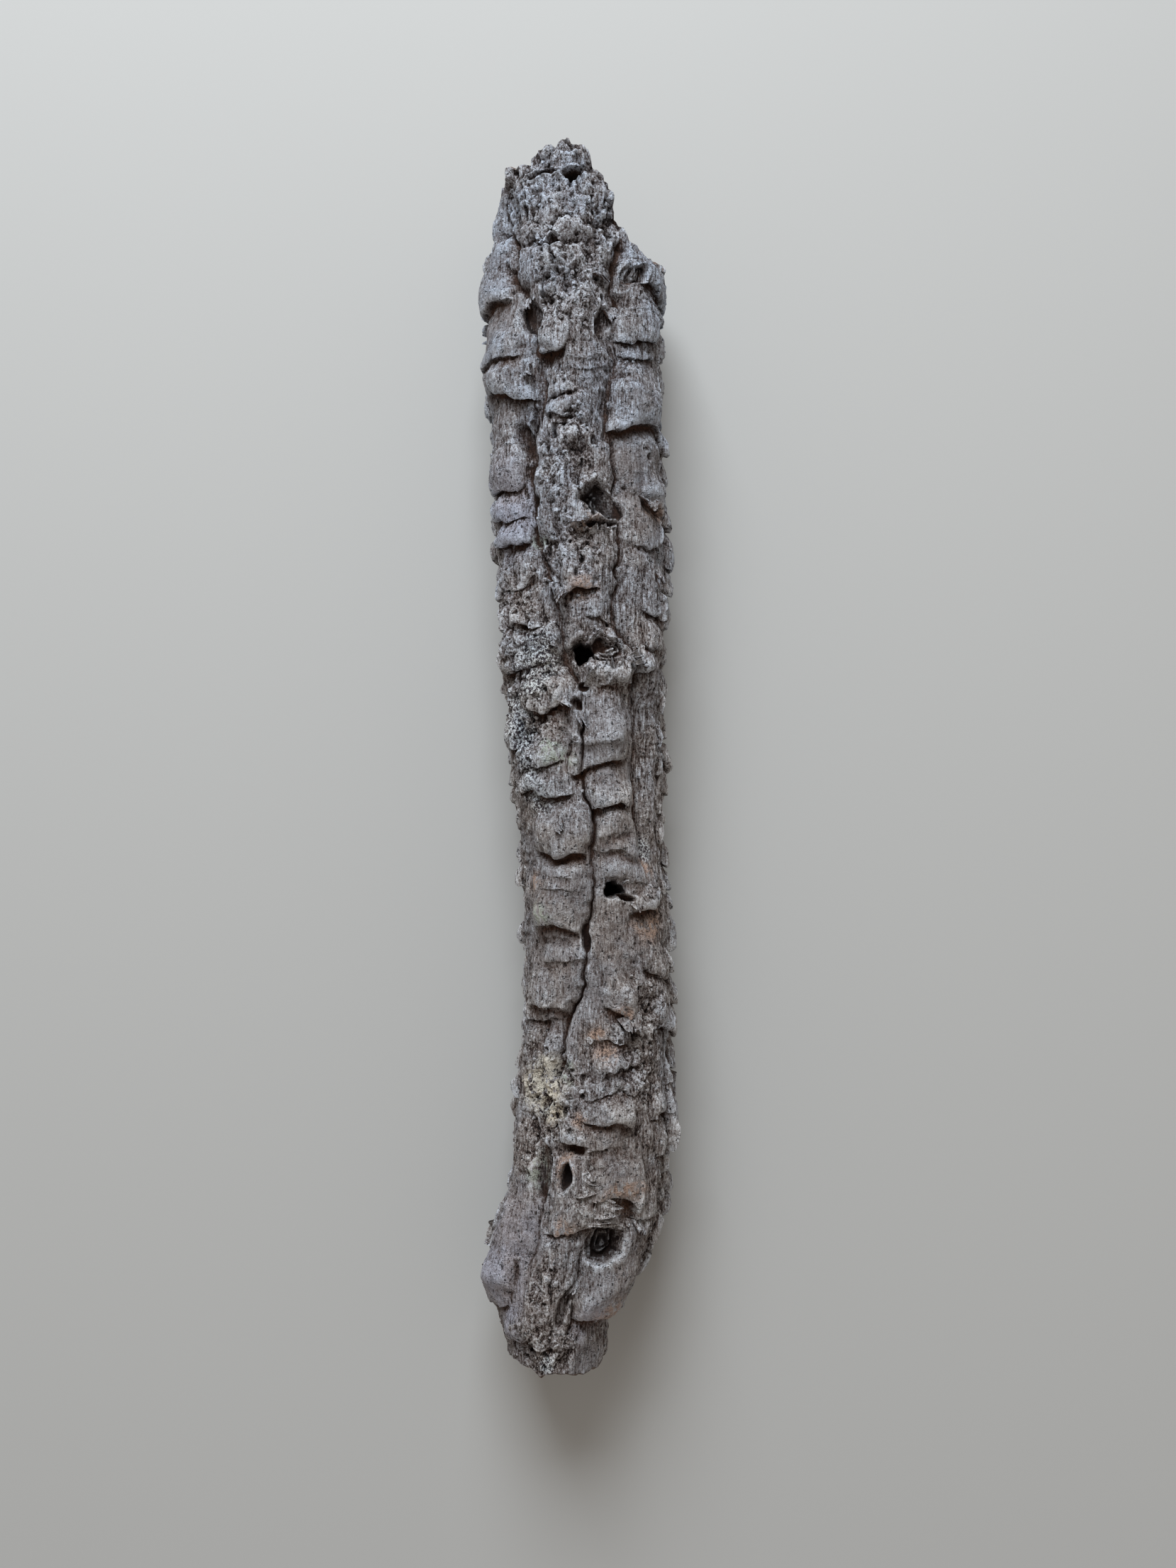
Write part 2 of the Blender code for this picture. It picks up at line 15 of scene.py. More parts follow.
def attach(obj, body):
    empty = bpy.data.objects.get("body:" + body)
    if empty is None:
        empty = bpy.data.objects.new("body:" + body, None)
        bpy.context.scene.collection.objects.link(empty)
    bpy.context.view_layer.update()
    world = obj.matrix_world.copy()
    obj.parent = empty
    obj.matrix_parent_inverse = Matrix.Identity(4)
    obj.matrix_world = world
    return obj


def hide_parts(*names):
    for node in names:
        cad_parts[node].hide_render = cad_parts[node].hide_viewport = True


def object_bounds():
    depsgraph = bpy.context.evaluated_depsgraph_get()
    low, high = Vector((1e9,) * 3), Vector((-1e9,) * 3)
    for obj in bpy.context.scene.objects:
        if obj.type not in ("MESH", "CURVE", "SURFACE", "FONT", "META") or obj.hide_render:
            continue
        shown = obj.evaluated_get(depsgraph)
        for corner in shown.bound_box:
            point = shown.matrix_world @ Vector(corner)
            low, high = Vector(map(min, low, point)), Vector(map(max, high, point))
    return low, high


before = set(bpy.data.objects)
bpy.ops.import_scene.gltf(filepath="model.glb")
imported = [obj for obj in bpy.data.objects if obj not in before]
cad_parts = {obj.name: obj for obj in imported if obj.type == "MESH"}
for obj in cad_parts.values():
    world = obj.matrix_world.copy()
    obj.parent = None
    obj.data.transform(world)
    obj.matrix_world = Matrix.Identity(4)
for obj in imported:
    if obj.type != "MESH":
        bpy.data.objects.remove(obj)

CAD_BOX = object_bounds()
NODE = "cork_bark_tube"
MM = 0.001

# The frame's origin, under the middle of the tube
MIDDLE_HEIGHT = 336.0
MIDDLE_ACROSS = -5.7

# The limb: how far the centre line wanders, the half width and the crown's height over the ground
CENTRE = [
    (-20, -17.5), (0, -17.5), (18, -17.5), (32, -16.2), (48, -11), (64, -5), (80, -1), (105, 2), (140, 3),
    (200, 5.5), (250, 4), (300, 1), (350, -0.5), (400, -3), (450, -3.5), (510, -6), (560, -8), (620, -8),
    (700, -7),
]
HALF_WIDTH = [
    (-20, 27), (-4, 30), (12, 33), (30, 38), (46, 43), (62, 46.5), (90, 46.5), (140, 46.5), (200, 45),
    (260, 44.5), (310, 46), (350, 48.5), (400, 50.5), (460, 52), (520, 52.5), (600, 54), (640, 53),
    (700, 50),
]
CROWN = [
    (-20, 78), (0, 84), (30, 88), (80, 91), (200, 90), (300, 91), (400, 95), (520, 97), (620, 97),
    (700, 93),
]
UNDERSIDE = [
    (-20, 20), (0, 15), (30, 8), (70, 4), (200, 3.6), (350, 4.6), (500, 3.8), (620, 4), (700, 7),
]

# The two broken rims: angle round the tube, height along it
FOOT_RIM = [
    (-180, 3), (-140, -3), (-105, -7), (-85, -3), (-60, -1), (-40, -2), (-20, -4), (0, -4), (20, -4),
    (40, -7), (58, -7), (75, -4), (100, 4), (130, 9), (180, 3),
]
HEAD_RIM = [
    (-180, 672), (-150, 674), (-118, 669), (-92, 673), (-72, 668), (-50, 668), (-40, 668), (-34, 671),
    (-28, 677), (-22, 678), (-12, 677), (-2, 678), (6, 674), (9, 669), (11, 663), (16, 658), (21, 657),
    (26, 652), (31, 638), (38, 628), (50, 621), (66, 618), (80, 621), (95, 627), (110, 636), (130, 652),
    (160, 668), (180, 672),
]
RIM_REACH = 150.0
RIM_RAGGED = 3.0

# The tube's usual radius, and the length of one degree round it
USUAL_RADIUS = 46.0
ARC = 0.8

# The wall and the smoother bore that the limb left
WALL = 14.0
WALL_WAVE = 2.0
BORE_RIB = 0.8
LEAST_WALL = 2.5

# How far the bark's middle level lies inside the limb's oval, and how far the rolls swell
BARK_SUNK = 2.2
ROLL_SWELL = 1.45

# How far a fissure reaches past its route's ends, and how deep the crack in it is where it is open
FISSURE_END = 12.0
CRACK_DEPTH = 3.5

# Long fissures between the lobes: depth, half width, how open the crack in it is, and the route as
# (height, angle)
FISSURES = [
    (10.0, 9.5, 0.7, [
        (655, -60), (628, -52), (605, -47), (590, -38), (572, -28), (552, -22), (536, -24), (524, -31),
        (505, -34), (478, -37), (455, -37), (436, -29), (412, -20), (386, -15), (362, -5)]),
    (8.5, 5.5, 0.75, [
        (364, -5), (340, -7), (318, -7), (304, -4), (290, 0), (258, 0), (240, -2), (228, -6), (202, -8),
        (190, -16), (178, -27), (150, -30)]),
    (10.0, 9.0, 0.3, [
        (650, 32), (612, 30), (584, 29), (566, 21), (553, 27), (540, 24), (522, 19), (505, 23), (480, 27),
        (455, 26), (430, 24), (400, 25), (388, 38), (370, 42), (330, 43), (300, 44), (262, 47)]),
    (6.0, 9.0, 0.12, [
        (190, -46), (160, -48), (132, -44), (108, -42), (86, -40), (66, -34), (46, -32)]),
    (6.0, 7.5, 0.1, [
        (76, 8), (60, 3), (50, 8), (34, 13), (22, 18), (8, 14)]),
    (7.0, 9.0, 0.7, [
        (640, 78), (560, 84), (480, 76), (400, 82), (300, 74), (220, 80), (130, 70), (70, 74)]),
    (8.0, 9.0, 0.7, [
        (690, 128), (600, 122), (520, 131), (430, 120), (340, 126), (250, 116), (150, 124), (40, 118),
        (10, 122)]),
    (8.0, 10.0, 0.7, [
        (700, 172), (610, 168), (500, 176), (400, 163), (320, 170), (230, 160), (140, 168), (20, 164)]),
    (8.0, 9.0, 0.7, [
        (690, -142), (610, -134), (520, -144), (440, -136), (350, -128), (270, -140), (170, -132),
        (90, -138), (0, -130)]),
    (7.0, 9.0, 0.7, [
        (680, -96), (600, -101), (520, -94), (450, -99), (360, -92), (290, -86), (200, -94), (120, -88),
        (50, -94)]),
]

# Rolls, which overlap like shingles and hang towards the foot: height of the lip, first and last
# angle, slope and sag of the lip across the roll, how far it stands out, how far up the tube it
# fades, depth of the shadow gap under it
ROLLS = [
    (636, -88, -54, 2, 0, 3.6, 30, 2.5), (592, -88, -46, -2, 0, 4.0, 22, 3.5),
    (556, -80, -36, 1, -3, 3.4, 14, 3.0), (537, -84, -30, -5, 0, 4.2, 15, 4.0),
    (482, -80, -40, 1, 2, 4.6, 28, 4.5), (464, -80, -40, 0, 1, 3.2, 12, 2.5),
    (450, -80, -38, -1, 1, 3.4, 10, 4.0), (426, -84, -34, 1, 2, 2.6, 14, 2.5),
    (402, -84, -30, -2, 1, 2.6, 14, 3.0), (380, -84, -24, 2, 0, 2.4, 14, 2.5),
    (336, -92, -60, 0, 0, 4.0, 12, 2.5), (559, -26, 0, 1, 0, 3.2, 12, 4.5),
    (530, -27, -3, 0, 0, 1.6, 9, 2.0), (520, -27, -3, 0, 0, 1.6, 9, 2.0),
    (600, 32, 78, -2, 0, 3.4, 16, 3.0), (566, 27, 66, 3, 0, 4.0, 24, 3.5),
    (557, 29, 64, 2, 0, 1.6, 7, 2.5), (519, 20, 68, 4, -2, 4.4, 24, 5.0),
    (474, 44, 80, -3, 0, 3.2, 16, 3.5), (448, 28, 80, 1, 1, 1.6, 14, 1.5),
    (421, -16, 12, 0, -2, 2.6, 16, 4.5), (403, 2, 24, 1, 0, 1.8, 12, 1.5),
    (410, 46, 80, -3, 0, 2.6, 18, 2.5), (392, 46, 78, 2, 0, 2.6, 14, 3.5),
    (369, 4, 34, 2, 1, 3.2, 9, 3.0), (376, 34, 56, 0, 3, 3.0, 12, 2.0),
    (354, -46, -10, 1, 2, 3.4, 22, 6.0), (325, -16, 32, 3, -4, 5.5, 26, 4.5),
    (335, -20, 24, 0, -2, 1.2, 6, 1.2), (302, -4, 36, 2, -2, 4.2, 18, 4.5),
    (308, -62, -12, 0, -1, 3.2, 16, 3.0), (322, -62, -16, 2, 1, 2.2, 12, 1.5),
    (284, 0, 40, 1, 1, 2.6, 14, 2.0), (275, 0, 46, -3, 1, 2.2, 8, 2.5), (260, 4, 58, -2, 1, 2.0, 12, 1.5),
    (246, 24, 60, 1, -2, 3.0, 10, 4.5), (276, -48, -3, 0, -1, 3.6, 18, 4.5),
    (262, -46, -4, -1, 0, 1.6, 8, 1.5), (255, -44, -6, 2, 0, 1.6, 8, 1.2),
    (235, -54, -8, 2, -3, 3.8, 20, 4.5), (226, -62, -14, 2, 0, 1.4, 8, 1.5),
    (215, -44, -6, 0, 0, 1.6, 9, 1.5), (190, -64, -20, -3, -2, 2.8, 18, 3.5),
    (184, -82, -26, -2, 0, 2.0, 8, 2.5), (188, 4, 32, -3, 0, 3.4, 20, 3.0),
    (178, 40, 86, 2, 0, 3.4, 20, 2.5), (206, 34, 84, -2, 0, 2.0, 16, 2.0),
    (172, -4, 30, -1, -2, 2.2, 12, 2.0), (158, -2, 34, 1, -1, 2.0, 10, 1.5),
    (146, -12, 36, 0, -2, 2.2, 12, 1.5), (131, -14, 30, -4, -3, 3.4, 14, 3.5),
    (117, -12, 32, 0, -2, 2.0, 12, 1.5), (120, -28, -8, -2, 0, 3.2, 12, 4.0),
    (88, -2, 38, -4, -1, 4.2, 28, 4.5), (78, 30, 60, -3, 0, 2.6, 20, 2.0),
    (76, -28, 16, 1, -3, 3.6, 16, 3.0), (134, 44, 84, 0, -2, 3.0, 16, 3.0),
    (112, 48, 84, 1, 0, 2.2, 16, 2.0), (22, 16, 70, 2, 5, 4.5, 34, 4.0),
    (28, -86, -44, 3, 0, 4.0, 46, 3.0), (10, -60, 6, 1, 2, 1.6, 12, 1.0),
]

# Rolls of the side and back lobes, which follow the same habit at random
SIDE_LOBES = [(66, 82), (82, 122), (120, 166), (164, 224), (-138, -98), (-98, -84)]
SIDE_ROLL_PITCH = (11, 27)
SIDE_SEED = 29

# Knots and pits: height, angle, half length, half width, depth, raised rim, lean across the tube
KNOTS = [
    (471, 11, 10, 10, 7.5, 1.2, 0), (458, 15, 2.8, 10, 6.0, 0.4, 0), (467, 22, 8, 8, 6.0, 1.2, 0),
    (466, 3, 6, 4, 4.0, 0.0, -20), (384, -1, 8, 7, 3.5, 0.8, 0), (384, 18, 10, 12, 3.6, 1.4, 0),
    (387, 13, 4, 6, 4.4, 0.0, 0), (383, -14, 5, 6, 3.5, 0.0, 0), (254, 14, 4.5, 5.5, 4.5, 0.4, 10),
    (251, 24, 2, 5, 4.0, 0.0, 15), (100, -18, 8, 4, 7.0, 1.4, 0), (64, 19, 10, 12, 6.5, 0.8, 10),
    (100, -41, 17, 8, 4.5, 0.0, 0), (139, -42, 4, 6, 4.5, 0.6, 0), (577, -30, 11, 7, 5.5, 0.6, -14),
    (574, 21, 9, 4, 5.0, 0.4, 8), (508, -41, 12, 5, 4.0, 0.0, -14), (660, -1, 4, 6, 6.0, 0.8, 0),
    (661, -22, 2.4, 11, 3.5, 0.4, -6), (604, 40, 5, 6, 4.5, 0.8, 0), (618, -14, 4, 4, 4.5, 0.6, 0),
    (228, -7, 9, 3.4, 6.0, 0.0, 0), (474, -33, 4, 4, 4.0, 0.0, 0), (365, -3, 3, 3.5, 4.0, 0.4, 0),
    (356, -8, 3, 3, 3.5, 0.4, 0), (115, -15, 3, 6, 4.0, 0.4, 10), (32, 5, 14, 5, 4.0, 0.0, 14),
    (430, 150, 10, 11, 6.0, 1.4, 0), (210, -115, 9, 8, 5.0, 1.2, 0), (560, -118, 8, 9, 5.0, 1.2, 10),
    (300, 98, 7, 8, 4.5, 1.0, 0), (120, 145, 9, 8, 4.5, 1.2, 0), (520, 104, 6, 7, 4.0, 1.0, 0),
]

# The two knot holes that go right through the wall: height, angle, half length, half width
THROUGH_HOLES = [(384, -1, 6.2, 5.6), (254, 14, 4.2, 5.2)]
PLUG_REACH = (9.0, -30.0)

# Crusted patches, rough with lumps: height, angle, half length, half width
CRUSTS = [
    (652, -12, 46, 44), (596, -4, 34, 20), (500, -8, 40, 16), (372, -52, 64, 26), (440, -12, 28, 18),
    (140, -42, 34, 22), (44, -16, 14, 10), (10, -12, 14, 28), (66, 20, 11, 11), (468, 14, 14, 14),
    (384, 20, 14, 16), (170, 28, 34, 18), (500, 150, 60, 30), (250, -160, 70, 30), (90, -120, 50, 26),
]

# Rings of branches that healed over: height, angle, half length, half width, pitch of the rings
RINGS = [
    (467, 16, 13, 14, 3.6), (385, 19, 11, 13, 3.0), (65, 19, 12, 13, 3.6), (604, 42, 7, 8, 3.0),
    (430, 150, 12, 13, 3.6), (210, -115, 11, 10, 3.4),
]

# How far the limb's growth has pulled every feature out of true, along and round the tube
WARP_ALONG = 3.4
WARP_ROUND = 4.0

# Where the left lobe has lost its bark near the head, and where the foot's right side has
BARE_STEPS = [(634, 700, -118, -54, 6.0), (-20, 20, 22, 110, 3.0)]

# Three worn spots that the tube rests on: height, angle, half length, half width
REST_SPOTS = [(95, 180, 16, 13), (545, 154, 16, 13), (560, -154, 16, 13)]
CLEARANCE = 1.1

# Small ledges across the rolls
LEDGE_PITCH = 7.0
LEDGE_DEPTH = 0.8

# Calm places, smoother and more evenly grey: height, angle, half length, half width
CALM_PATCHES = [
    (232, -28, 72, 26), (262, 22, 52, 26), (212, 12, 40, 20), (490, 48, 46, 22), (580, -66, 66, 24),
    (110, 16, 34, 22), (56, -48, 40, 30), (40, 40, 30, 22), (330, 10, 30, 24), (5, 40, 18, 24),
]

# Coloured patches, by the mark that each kind leaves: fresh is broken, orange cork, cream, blue and
# green are lichens, and lilac is bleached bark. Height, angle, half length, half width of each.
COLOURED = {
    "fresh": [
        (235, 46, 10, 14), (269, 46, 4, 5), (303, 38, 4, 4), (257, -52, 5, 6), (175, 1, 4, 5),
        (166, 8, 5, 6), (187, 20, 4, 8), (26, 48, 9, 14), (106, -20, 11, 6), (76, -14, 5, 8),
        (420, 0, 8, 9), (458, 8, 5, 9), (92, 24, 4, 14), (132, -12, 5, 5), (470, 62, 6, 16)],
    "cream": [(147, -46, 13, 17), (136, -34, 8, 9), (160, -40, 6, 10)],
    "blue": [
        (137, -40, 5, 6), (366, -35, 7, 9), (323, -44, 6, 8), (315, -40, 4, 6), (384, -34, 14, 12),
        (306, -38, 9, 12), (3, -6, 4, 7), (344, -58, 20, 12), (276, 48, 5, 5)],
    "green": [
        (333, -27, 5, 6), (326, -21, 4, 8), (100, -44, 8, 8), (160, -18, 3, 3), (152, -20, 3, 3),
        (240, -40, 5, 8), (450, -33, 6, 5)],
    "lilac": [(54, -58, 34, 20), (30, -44, 22, 12), (470, -52, 30, 14), (22, 30, 12, 10)],
}

# Free-edged flaps of bark: height and angle of the root's middle, the way the flap points in degrees
# (0 to the foot, 90 towards +X, 180 to the head), length, width, how far the free edge lifts, how far
# its sides curl up, how pale it is
FLAPS = [
    (365, 8, 176, 13, 15, 5.0, 0.6, 0.35), (366, 22, 184, 12, 11, 5.4, 0.8, 0.3),
    (368, 32, 190, 9, 8, 4.4, 0.6, 0.2), (384, 42, -66, 9, 16, 4.5, 0.5, 0.3),
    (389, 52, 150, 8, 9, 3.5, 0.3, 0.1), (463, -5, 66, 7, 14, 2.6, 0.4, 0.25),
    (450, 12, 172, 5, 12, 2.6, 0.3, 0.2), (425, -20, 8, 9, 7, 3.2, 0.4, 0.1),
    (420, -12, -25, 8, 6, 3.0, 0.3, 0.1), (392, -24, 60, 8, 8, 3.2, 0.3, 0.3),
    (360, -16, 40, 9, 8, 3.4, 0.8, 0.3), (352, -6, 20, 10, 6, 3.0, 0.6, 0.1),
    (256, 40, 10, 8, 12, 2.4, 0.2, 0.0), (247, 30, 20, 5, 7, 2.0, 0.2, 0.1),
    (292, -24, 35, 8, 8, 2.4, 0.4, 0.1), (144, 76, 84, 12, 17, 1.6, 0.4, -0.7),
    (120, 78, 70, 8, 12, 1.4, 0.4, -0.4), (186, 22, 14, 9, 14, 2.8, 0.3, 0.0),
    (98, -8, 70, 9, 16, 3.0, 0.3, 0.1), (84, 4, 82, 10, 18, 3.4, 0.3, 0.1),
    (78, 40, 10, 8, 10, 3.0, 0.4, 0.1), (62, -80, -80, 9, 16, 3.0, 0.4, 0.1),
    (40, -84, -60, 9, 14, 3.0, 0.4, 0.1), (46, 10, -20, 8, 9, 3.0, 0.4, 0.0),
    (128, -28, 40, 8, 9, 3.0, 0.4, 0.3), (592, -34, 10, 9, 12, 3.0, 0.4, 0.2),
    (584, 26, 8, 8, 10, 3.0, 0.4, 0.2), (600, 44, 186, 7, 9, 2.4, 0.4, 0.0),
    (646, -50, 200, 8, 10, 2.0, 0.4, 0.2), (548, -34, 40, 8, 8, 2.6, 0.4, 0.1),
    (522, -36, 70, 7, 8, 2.6, 0.3, 0.2), (476, 50, 6, 8, 12, 2.6, 0.3, 0.0),
    (604, 14, 40, 8, 9, 2.4, 0.4, 0.2), (436, 60, 10, 8, 9, 2.6, 0.3, 0.0),
]
FLAP_STEPS = (28, 14)

# Small scales of dead bark and lichen that stand off the crust: how many places are tried, up to what
# height and how far round from the crown, and how far the kept ones are from the rims and the sides
SCALES = 5200
SCALES_UP_TO = 672
SCALES_ROUND_TO = 88
SCALE_RIM_GAPS = (4, 5)
SCALE_LAST_ANGLE = 74
SCALE_SIDES = 6
SCALE_SEED = 7

# Fineness of the sheet before it is thinned where it is plain
STEPS_ROUND = 320
ROWS_OUTSIDE = 960
ROWS_RIM = 6
ROWS_INSIDE = 110
CROWDED = 0.38
MOST_TRIANGLES = 196000
SHARP_ANGLE = 38.0

# How many columns and rows about a point its stand over its neighbourhood is taken from, and the
# limits that it is kept to
BROAD_WINDOW = (9, 12)
BROAD_LIMITS = (-9, 3)
CLOSE_WINDOW = (3, 3)
CLOSE_LIMITS = (-2.5, 1.1)

# In metres: flaps and scales stay this far inside the solid's box, and the bark within this much of
# the box's sides and top is squeezed back
EDGE = 0.0002
SQUEEZE = 0.003

FLOOR_SIZE = 6.0

# The camera: focal length and film width in millimetres, its place in metres, its tilt in degrees
LENS = 27.03
FILM_WIDTH = 36.0
CAMERA_PLACE = (0.0057, -0.074, 0.732)
CAMERA_TILT = 4.4


def along(height, table):
    """A quantity along the tube, running smoothly through the table's points."""
    heights, values = np.array(table, float).T
    slopes = np.gradient(values, heights)
    i = np.clip(np.searchsorted(heights, height) - 1, 0, len(heights) - 2)
    span = heights[i + 1] - heights[i]
    t = np.clip((height - heights[i]) / span, 0, 1)
    return ((1 + 2 * t) * (1 - t) ** 2 * values[i] + t * (1 - t) ** 2 * span * slopes[i]
            + t * t * (3 - 2 * t) * values[i + 1] + t * t * (t - 1) * span * slopes[i + 1])


def turned(angle):
    """An angle brought into -180 to 180 degrees."""
    return (angle + 180) % 360 - 180


def bell(distance, reach, power=2):
    """A smooth hump: 1 at no distance, fading out past the reach, the faster the higher the power."""
    return np.exp(-(distance / reach) ** power)


def drawn_out(points, share):
    """Points with their height cut to a share, so that a noise taken there is drawn out along the tube."""
    return points * np.array([1.0, share, 1.0])


def cell_value(x, y, z, seed):
    """A repeatable random value from 0 to 1 for each whole-numbered cell of space."""
    mixed = (x * 374761393 + y * 668265263 + z * 1440662683 + seed * 974711) & 0xFFFFFFFF
    mixed = ((mixed ^ (mixed >> 13)) * 1274126177) & 0xFFFFFFFF
    return ((mixed ^ (mixed >> 16)) & 0xFFFF) / 65535.0


def noise(points, size, seed):
    """Smooth noise from -1 to 1: cell corners' random values, eased from one to the next."""
    scaled = points / size
    cell = np.floor(scaled).astype(np.int64)
    f = scaled - cell
    f = f * f * f * (f * (f * 6 - 15) + 10)
    total = 0.0
    for dx, dy, dz in np.ndindex(2, 2, 2):
        weight = np.abs(1 - dx - f[..., 0]) * np.abs(1 - dy - f[..., 1]) * np.abs(1 - dz - f[..., 2])
        total = total + weight * cell_value(cell[..., 0] + dx, cell[..., 1] + dy, cell[..., 2] + dz, seed)
    return 2 * total - 1


def crumbs(points, size, seed):
    """Cracked crumbs: how far each point is from its crumb's edge, and its crumb's own value from 0 to 1.

    Space holds one random point to a cell, and the nearest one owns the place. The distance to the
    second nearest less that to the nearest is 0 along the crack between two crumbs.
    """
    scaled = points / size
    cell = np.floor(scaled).astype(np.int64)
    nearest = np.full(points.shape[:-1], 9.0)
    second, own = nearest.copy(), nearest.copy()
    for shift in np.ndindex(3, 3, 3):
        corner = cell + np.array(shift) - 1
        x, y, z = corner[..., 0], corner[..., 1], corner[..., 2]
        middle = np.stack([cell_value(x, y, z, seed + k) for k in range(3)], -1)
        distance = np.linalg.norm(corner + middle - scaled, axis=-1)
        own = np.where(distance < nearest, cell_value(x, y, z, seed + 3), own)
        second = np.minimum(second, np.maximum(nearest, distance))
        nearest = np.minimum(nearest, distance)
    return second - nearest, own


def limb_point(height, angle, swell):
    """A point on the limb's oval section, pushed out by a swell, in millimetres from the foot."""
    crown, under = along(height, CROWN), along(height, UNDERSIDE)
    half_width = along(height, HALF_WIDTH) + swell
    half_depth = (crown - under) / 2 + swell
    turn = np.radians(angle)
    return np.stack([along(height, CENTRE) + half_width * np.sin(turn), height + 0 * turn,
                     (crown + under) / 2 + half_depth * np.cos(turn)], -1)


def side_rolls():
    """Rolls of the side and back lobes: lips one above another at uneven steps."""
    draw = np.random.RandomState(SIDE_SEED)
    rolls = []
    for first, last in SIDE_LOBES:
        lip = draw.uniform(10, 24)
        while lip < 660:
            inset = draw.uniform(-2, 8, 2)
            rolls.append((lip, first + inset[0], last - inset[1], draw.uniform(-4, 4), draw.uniform(-3, 3),
                          draw.uniform(1.2, 3.8), draw.uniform(10, 24), draw.uniform(1.4, 4.2)))
            lip += draw.uniform(*SIDE_ROLL_PITCH)
    return rolls


def fissure_relief(height, angle, open_share, soft):
    """Depth of the long valleys: a rounded shoulder, and a narrow crease where the fissure is open."""
    relief, crease = np.zeros_like(height), np.zeros_like(height)
    for depth, half_width, gape, route in FISSURES:
        heights, angles = np.array(route[::-1], float).T
        across = np.abs(turned(angle - np.interp(height, heights, angles))) * ARC
        ends = (np.clip((height - heights[0] + FISSURE_END) / (2 * FISSURE_END), 0, 1)
                * np.clip((heights[-1] + FISSURE_END - height) / (2 * FISSURE_END), 0, 1))
        cracked = gape * open_share * ends
        valley = 0.84 * bell(across, half_width, 1) + 0.16 * bell(across, 1.6)
        relief = np.minimum(relief, -depth * (1 - 0.3 * soft) * ends * valley
                            - CRACK_DEPTH * cracked * bell(across, 0.55))
        crease = np.maximum(crease, cracked * bell(across, 0.5))
    return relief, crease


def roll_relief(height, angle, rolls, soft):
    """The shingled rolls' relief, how far their lips hang, how much each point is under a lip or on one.

    Up the tube from its lip a roll rises along a quarter circle, then fades; below the lip it drops
    into the shadow gap. Where the bark is soft a lip rounds over slowly and hangs less. The finish
    paints shade where a point is under a lip and a highlight where it is on one.
    """
    relief, hang, under, painted_highlight = (np.zeros_like(height) for _ in range(4))
    for lip, first, last, slope, sag, stand, fade, gap in rolls:
        near = np.abs(height - lip) < 3 * fade + 20
        q = turned(angle[near] - (first + last) / 2) / ((last - first) / 2)
        window = np.clip(1 - np.abs(q) ** 5, 0, 1)
        t = height[near] - (lip + slope * q + sag * q * q)
        gentle = soft[near]
        swell = ROLL_SWELL * stand * (1 + 0.25 * gentle)
        nose = np.sqrt(1 - (1 - np.clip(t / ((1.1 + 1.9 * gentle) * swell), 0, 1)) ** 2)
        body = (0.2 + 0.8 * nose) * bell(np.maximum(t / fade - 0.3, 0), 0.85, 1.7)
        past = np.clip(-t / (0.8 + 2.6 * gentle), 0, 1)
        below = past * bell(np.maximum(-t, 0), 3.2 + 0.8 * gap + 1.5 * gentle, 1.6)
        relief[near] += window * (swell * (1 - past) * body * (1 - 0.3 * q * q) - 0.85 * gap * below)
        eased = np.clip((t + 0.7) / 0.9, 0, 1)
        hang[near] += window * (0.6 - 0.4 * gentle) * swell * eased * bell(np.maximum(t, 0), 4.0)
        # Painted shade: how far the point lies under a lip, which the finish darkens and browns
        under[near] = np.maximum(under[near], window * np.clip((stand + gap) / 6, 0, 1) * below)
        # Painted highlight: how far the point lies on the top of a lip, which the finish makes paler
        painted_highlight[near] = np.maximum(painted_highlight[near], window * np.clip(stand / 4, 0, 1) * bell(t - 3.5, 4.0))
    return relief, hang, under, painted_highlight


def knot_relief(height, angle):
    """Pits with a raised rim: a smooth bowl inside the oval, a low ridge along its edge. The deeper bowls
    are also darkened: painted shade in them, over the knots' own blackish colour.
    """
    relief, dark_knots_and_painted_shade = np.zeros_like(height), np.zeros_like(height)
    for middle, turn, half_length, half_width, depth, rim, lean in KNOTS:
        across = turned(angle - turn) * ARC
        up = height - middle
        tilt = np.radians(lean)
        r = np.hypot((up * np.cos(tilt) + across * np.sin(tilt)) / half_length,
                     (across * np.cos(tilt) - up * np.sin(tilt)) / half_width)
        relief += rim * bell(r - 1.15, 0.28) - 1.15 * depth * bell(r, 0.85, 6)
        # Painted shade in the deeper pits, over the knots' own blackish colour
        dark_knots_and_painted_shade = np.maximum(dark_knots_and_painted_shade, bell(r, 0.82, 6) * np.clip((depth - 2.5) / 4, 0, 1))
    return relief, dark_knots_and_painted_shade


def ring_relief(height, angle):
    """The rings of a healed branch: waves about its middle, dying out past its edge."""
    relief = np.zeros_like(height)
    for middle, turn, half_length, half_width, pitch in RINGS:
        r = np.hypot((height - middle) / half_length, turned(angle - turn) * ARC / half_width)
        relief += 1.2 * bell(r, 1.0, 6) * np.sin(2 * pi * r * half_length / pitch)
    return relief


def step_relief(height, angle):
    """Where the outer bark is gone: the face steps in over a few millimetres."""
    relief = np.zeros_like(height)
    for low, high, first, last, drop in BARE_STEPS:
        q = turned(angle - (first + last) / 2) / ((last - first) / 2)
        inside = np.clip(1 - np.abs(q) ** 8, 0, 1)
        relief -= (drop * inside * np.clip((height - low + 3) / 6, 0, 1)
                   * np.clip((high + 3 - height) / 6, 0, 1))
    return relief


def patch_share(height, angle, patches):
    """How far each point lies inside soft-edged oval patches, from 0 to 1."""
    share = np.zeros_like(height)
    for middle, turn, half_length, half_width in patches:
        r = np.hypot((height - middle) / half_length, turned(angle - turn) * ARC / half_width)
        share = np.maximum(share, bell(r, 1.0, 4))
    return share


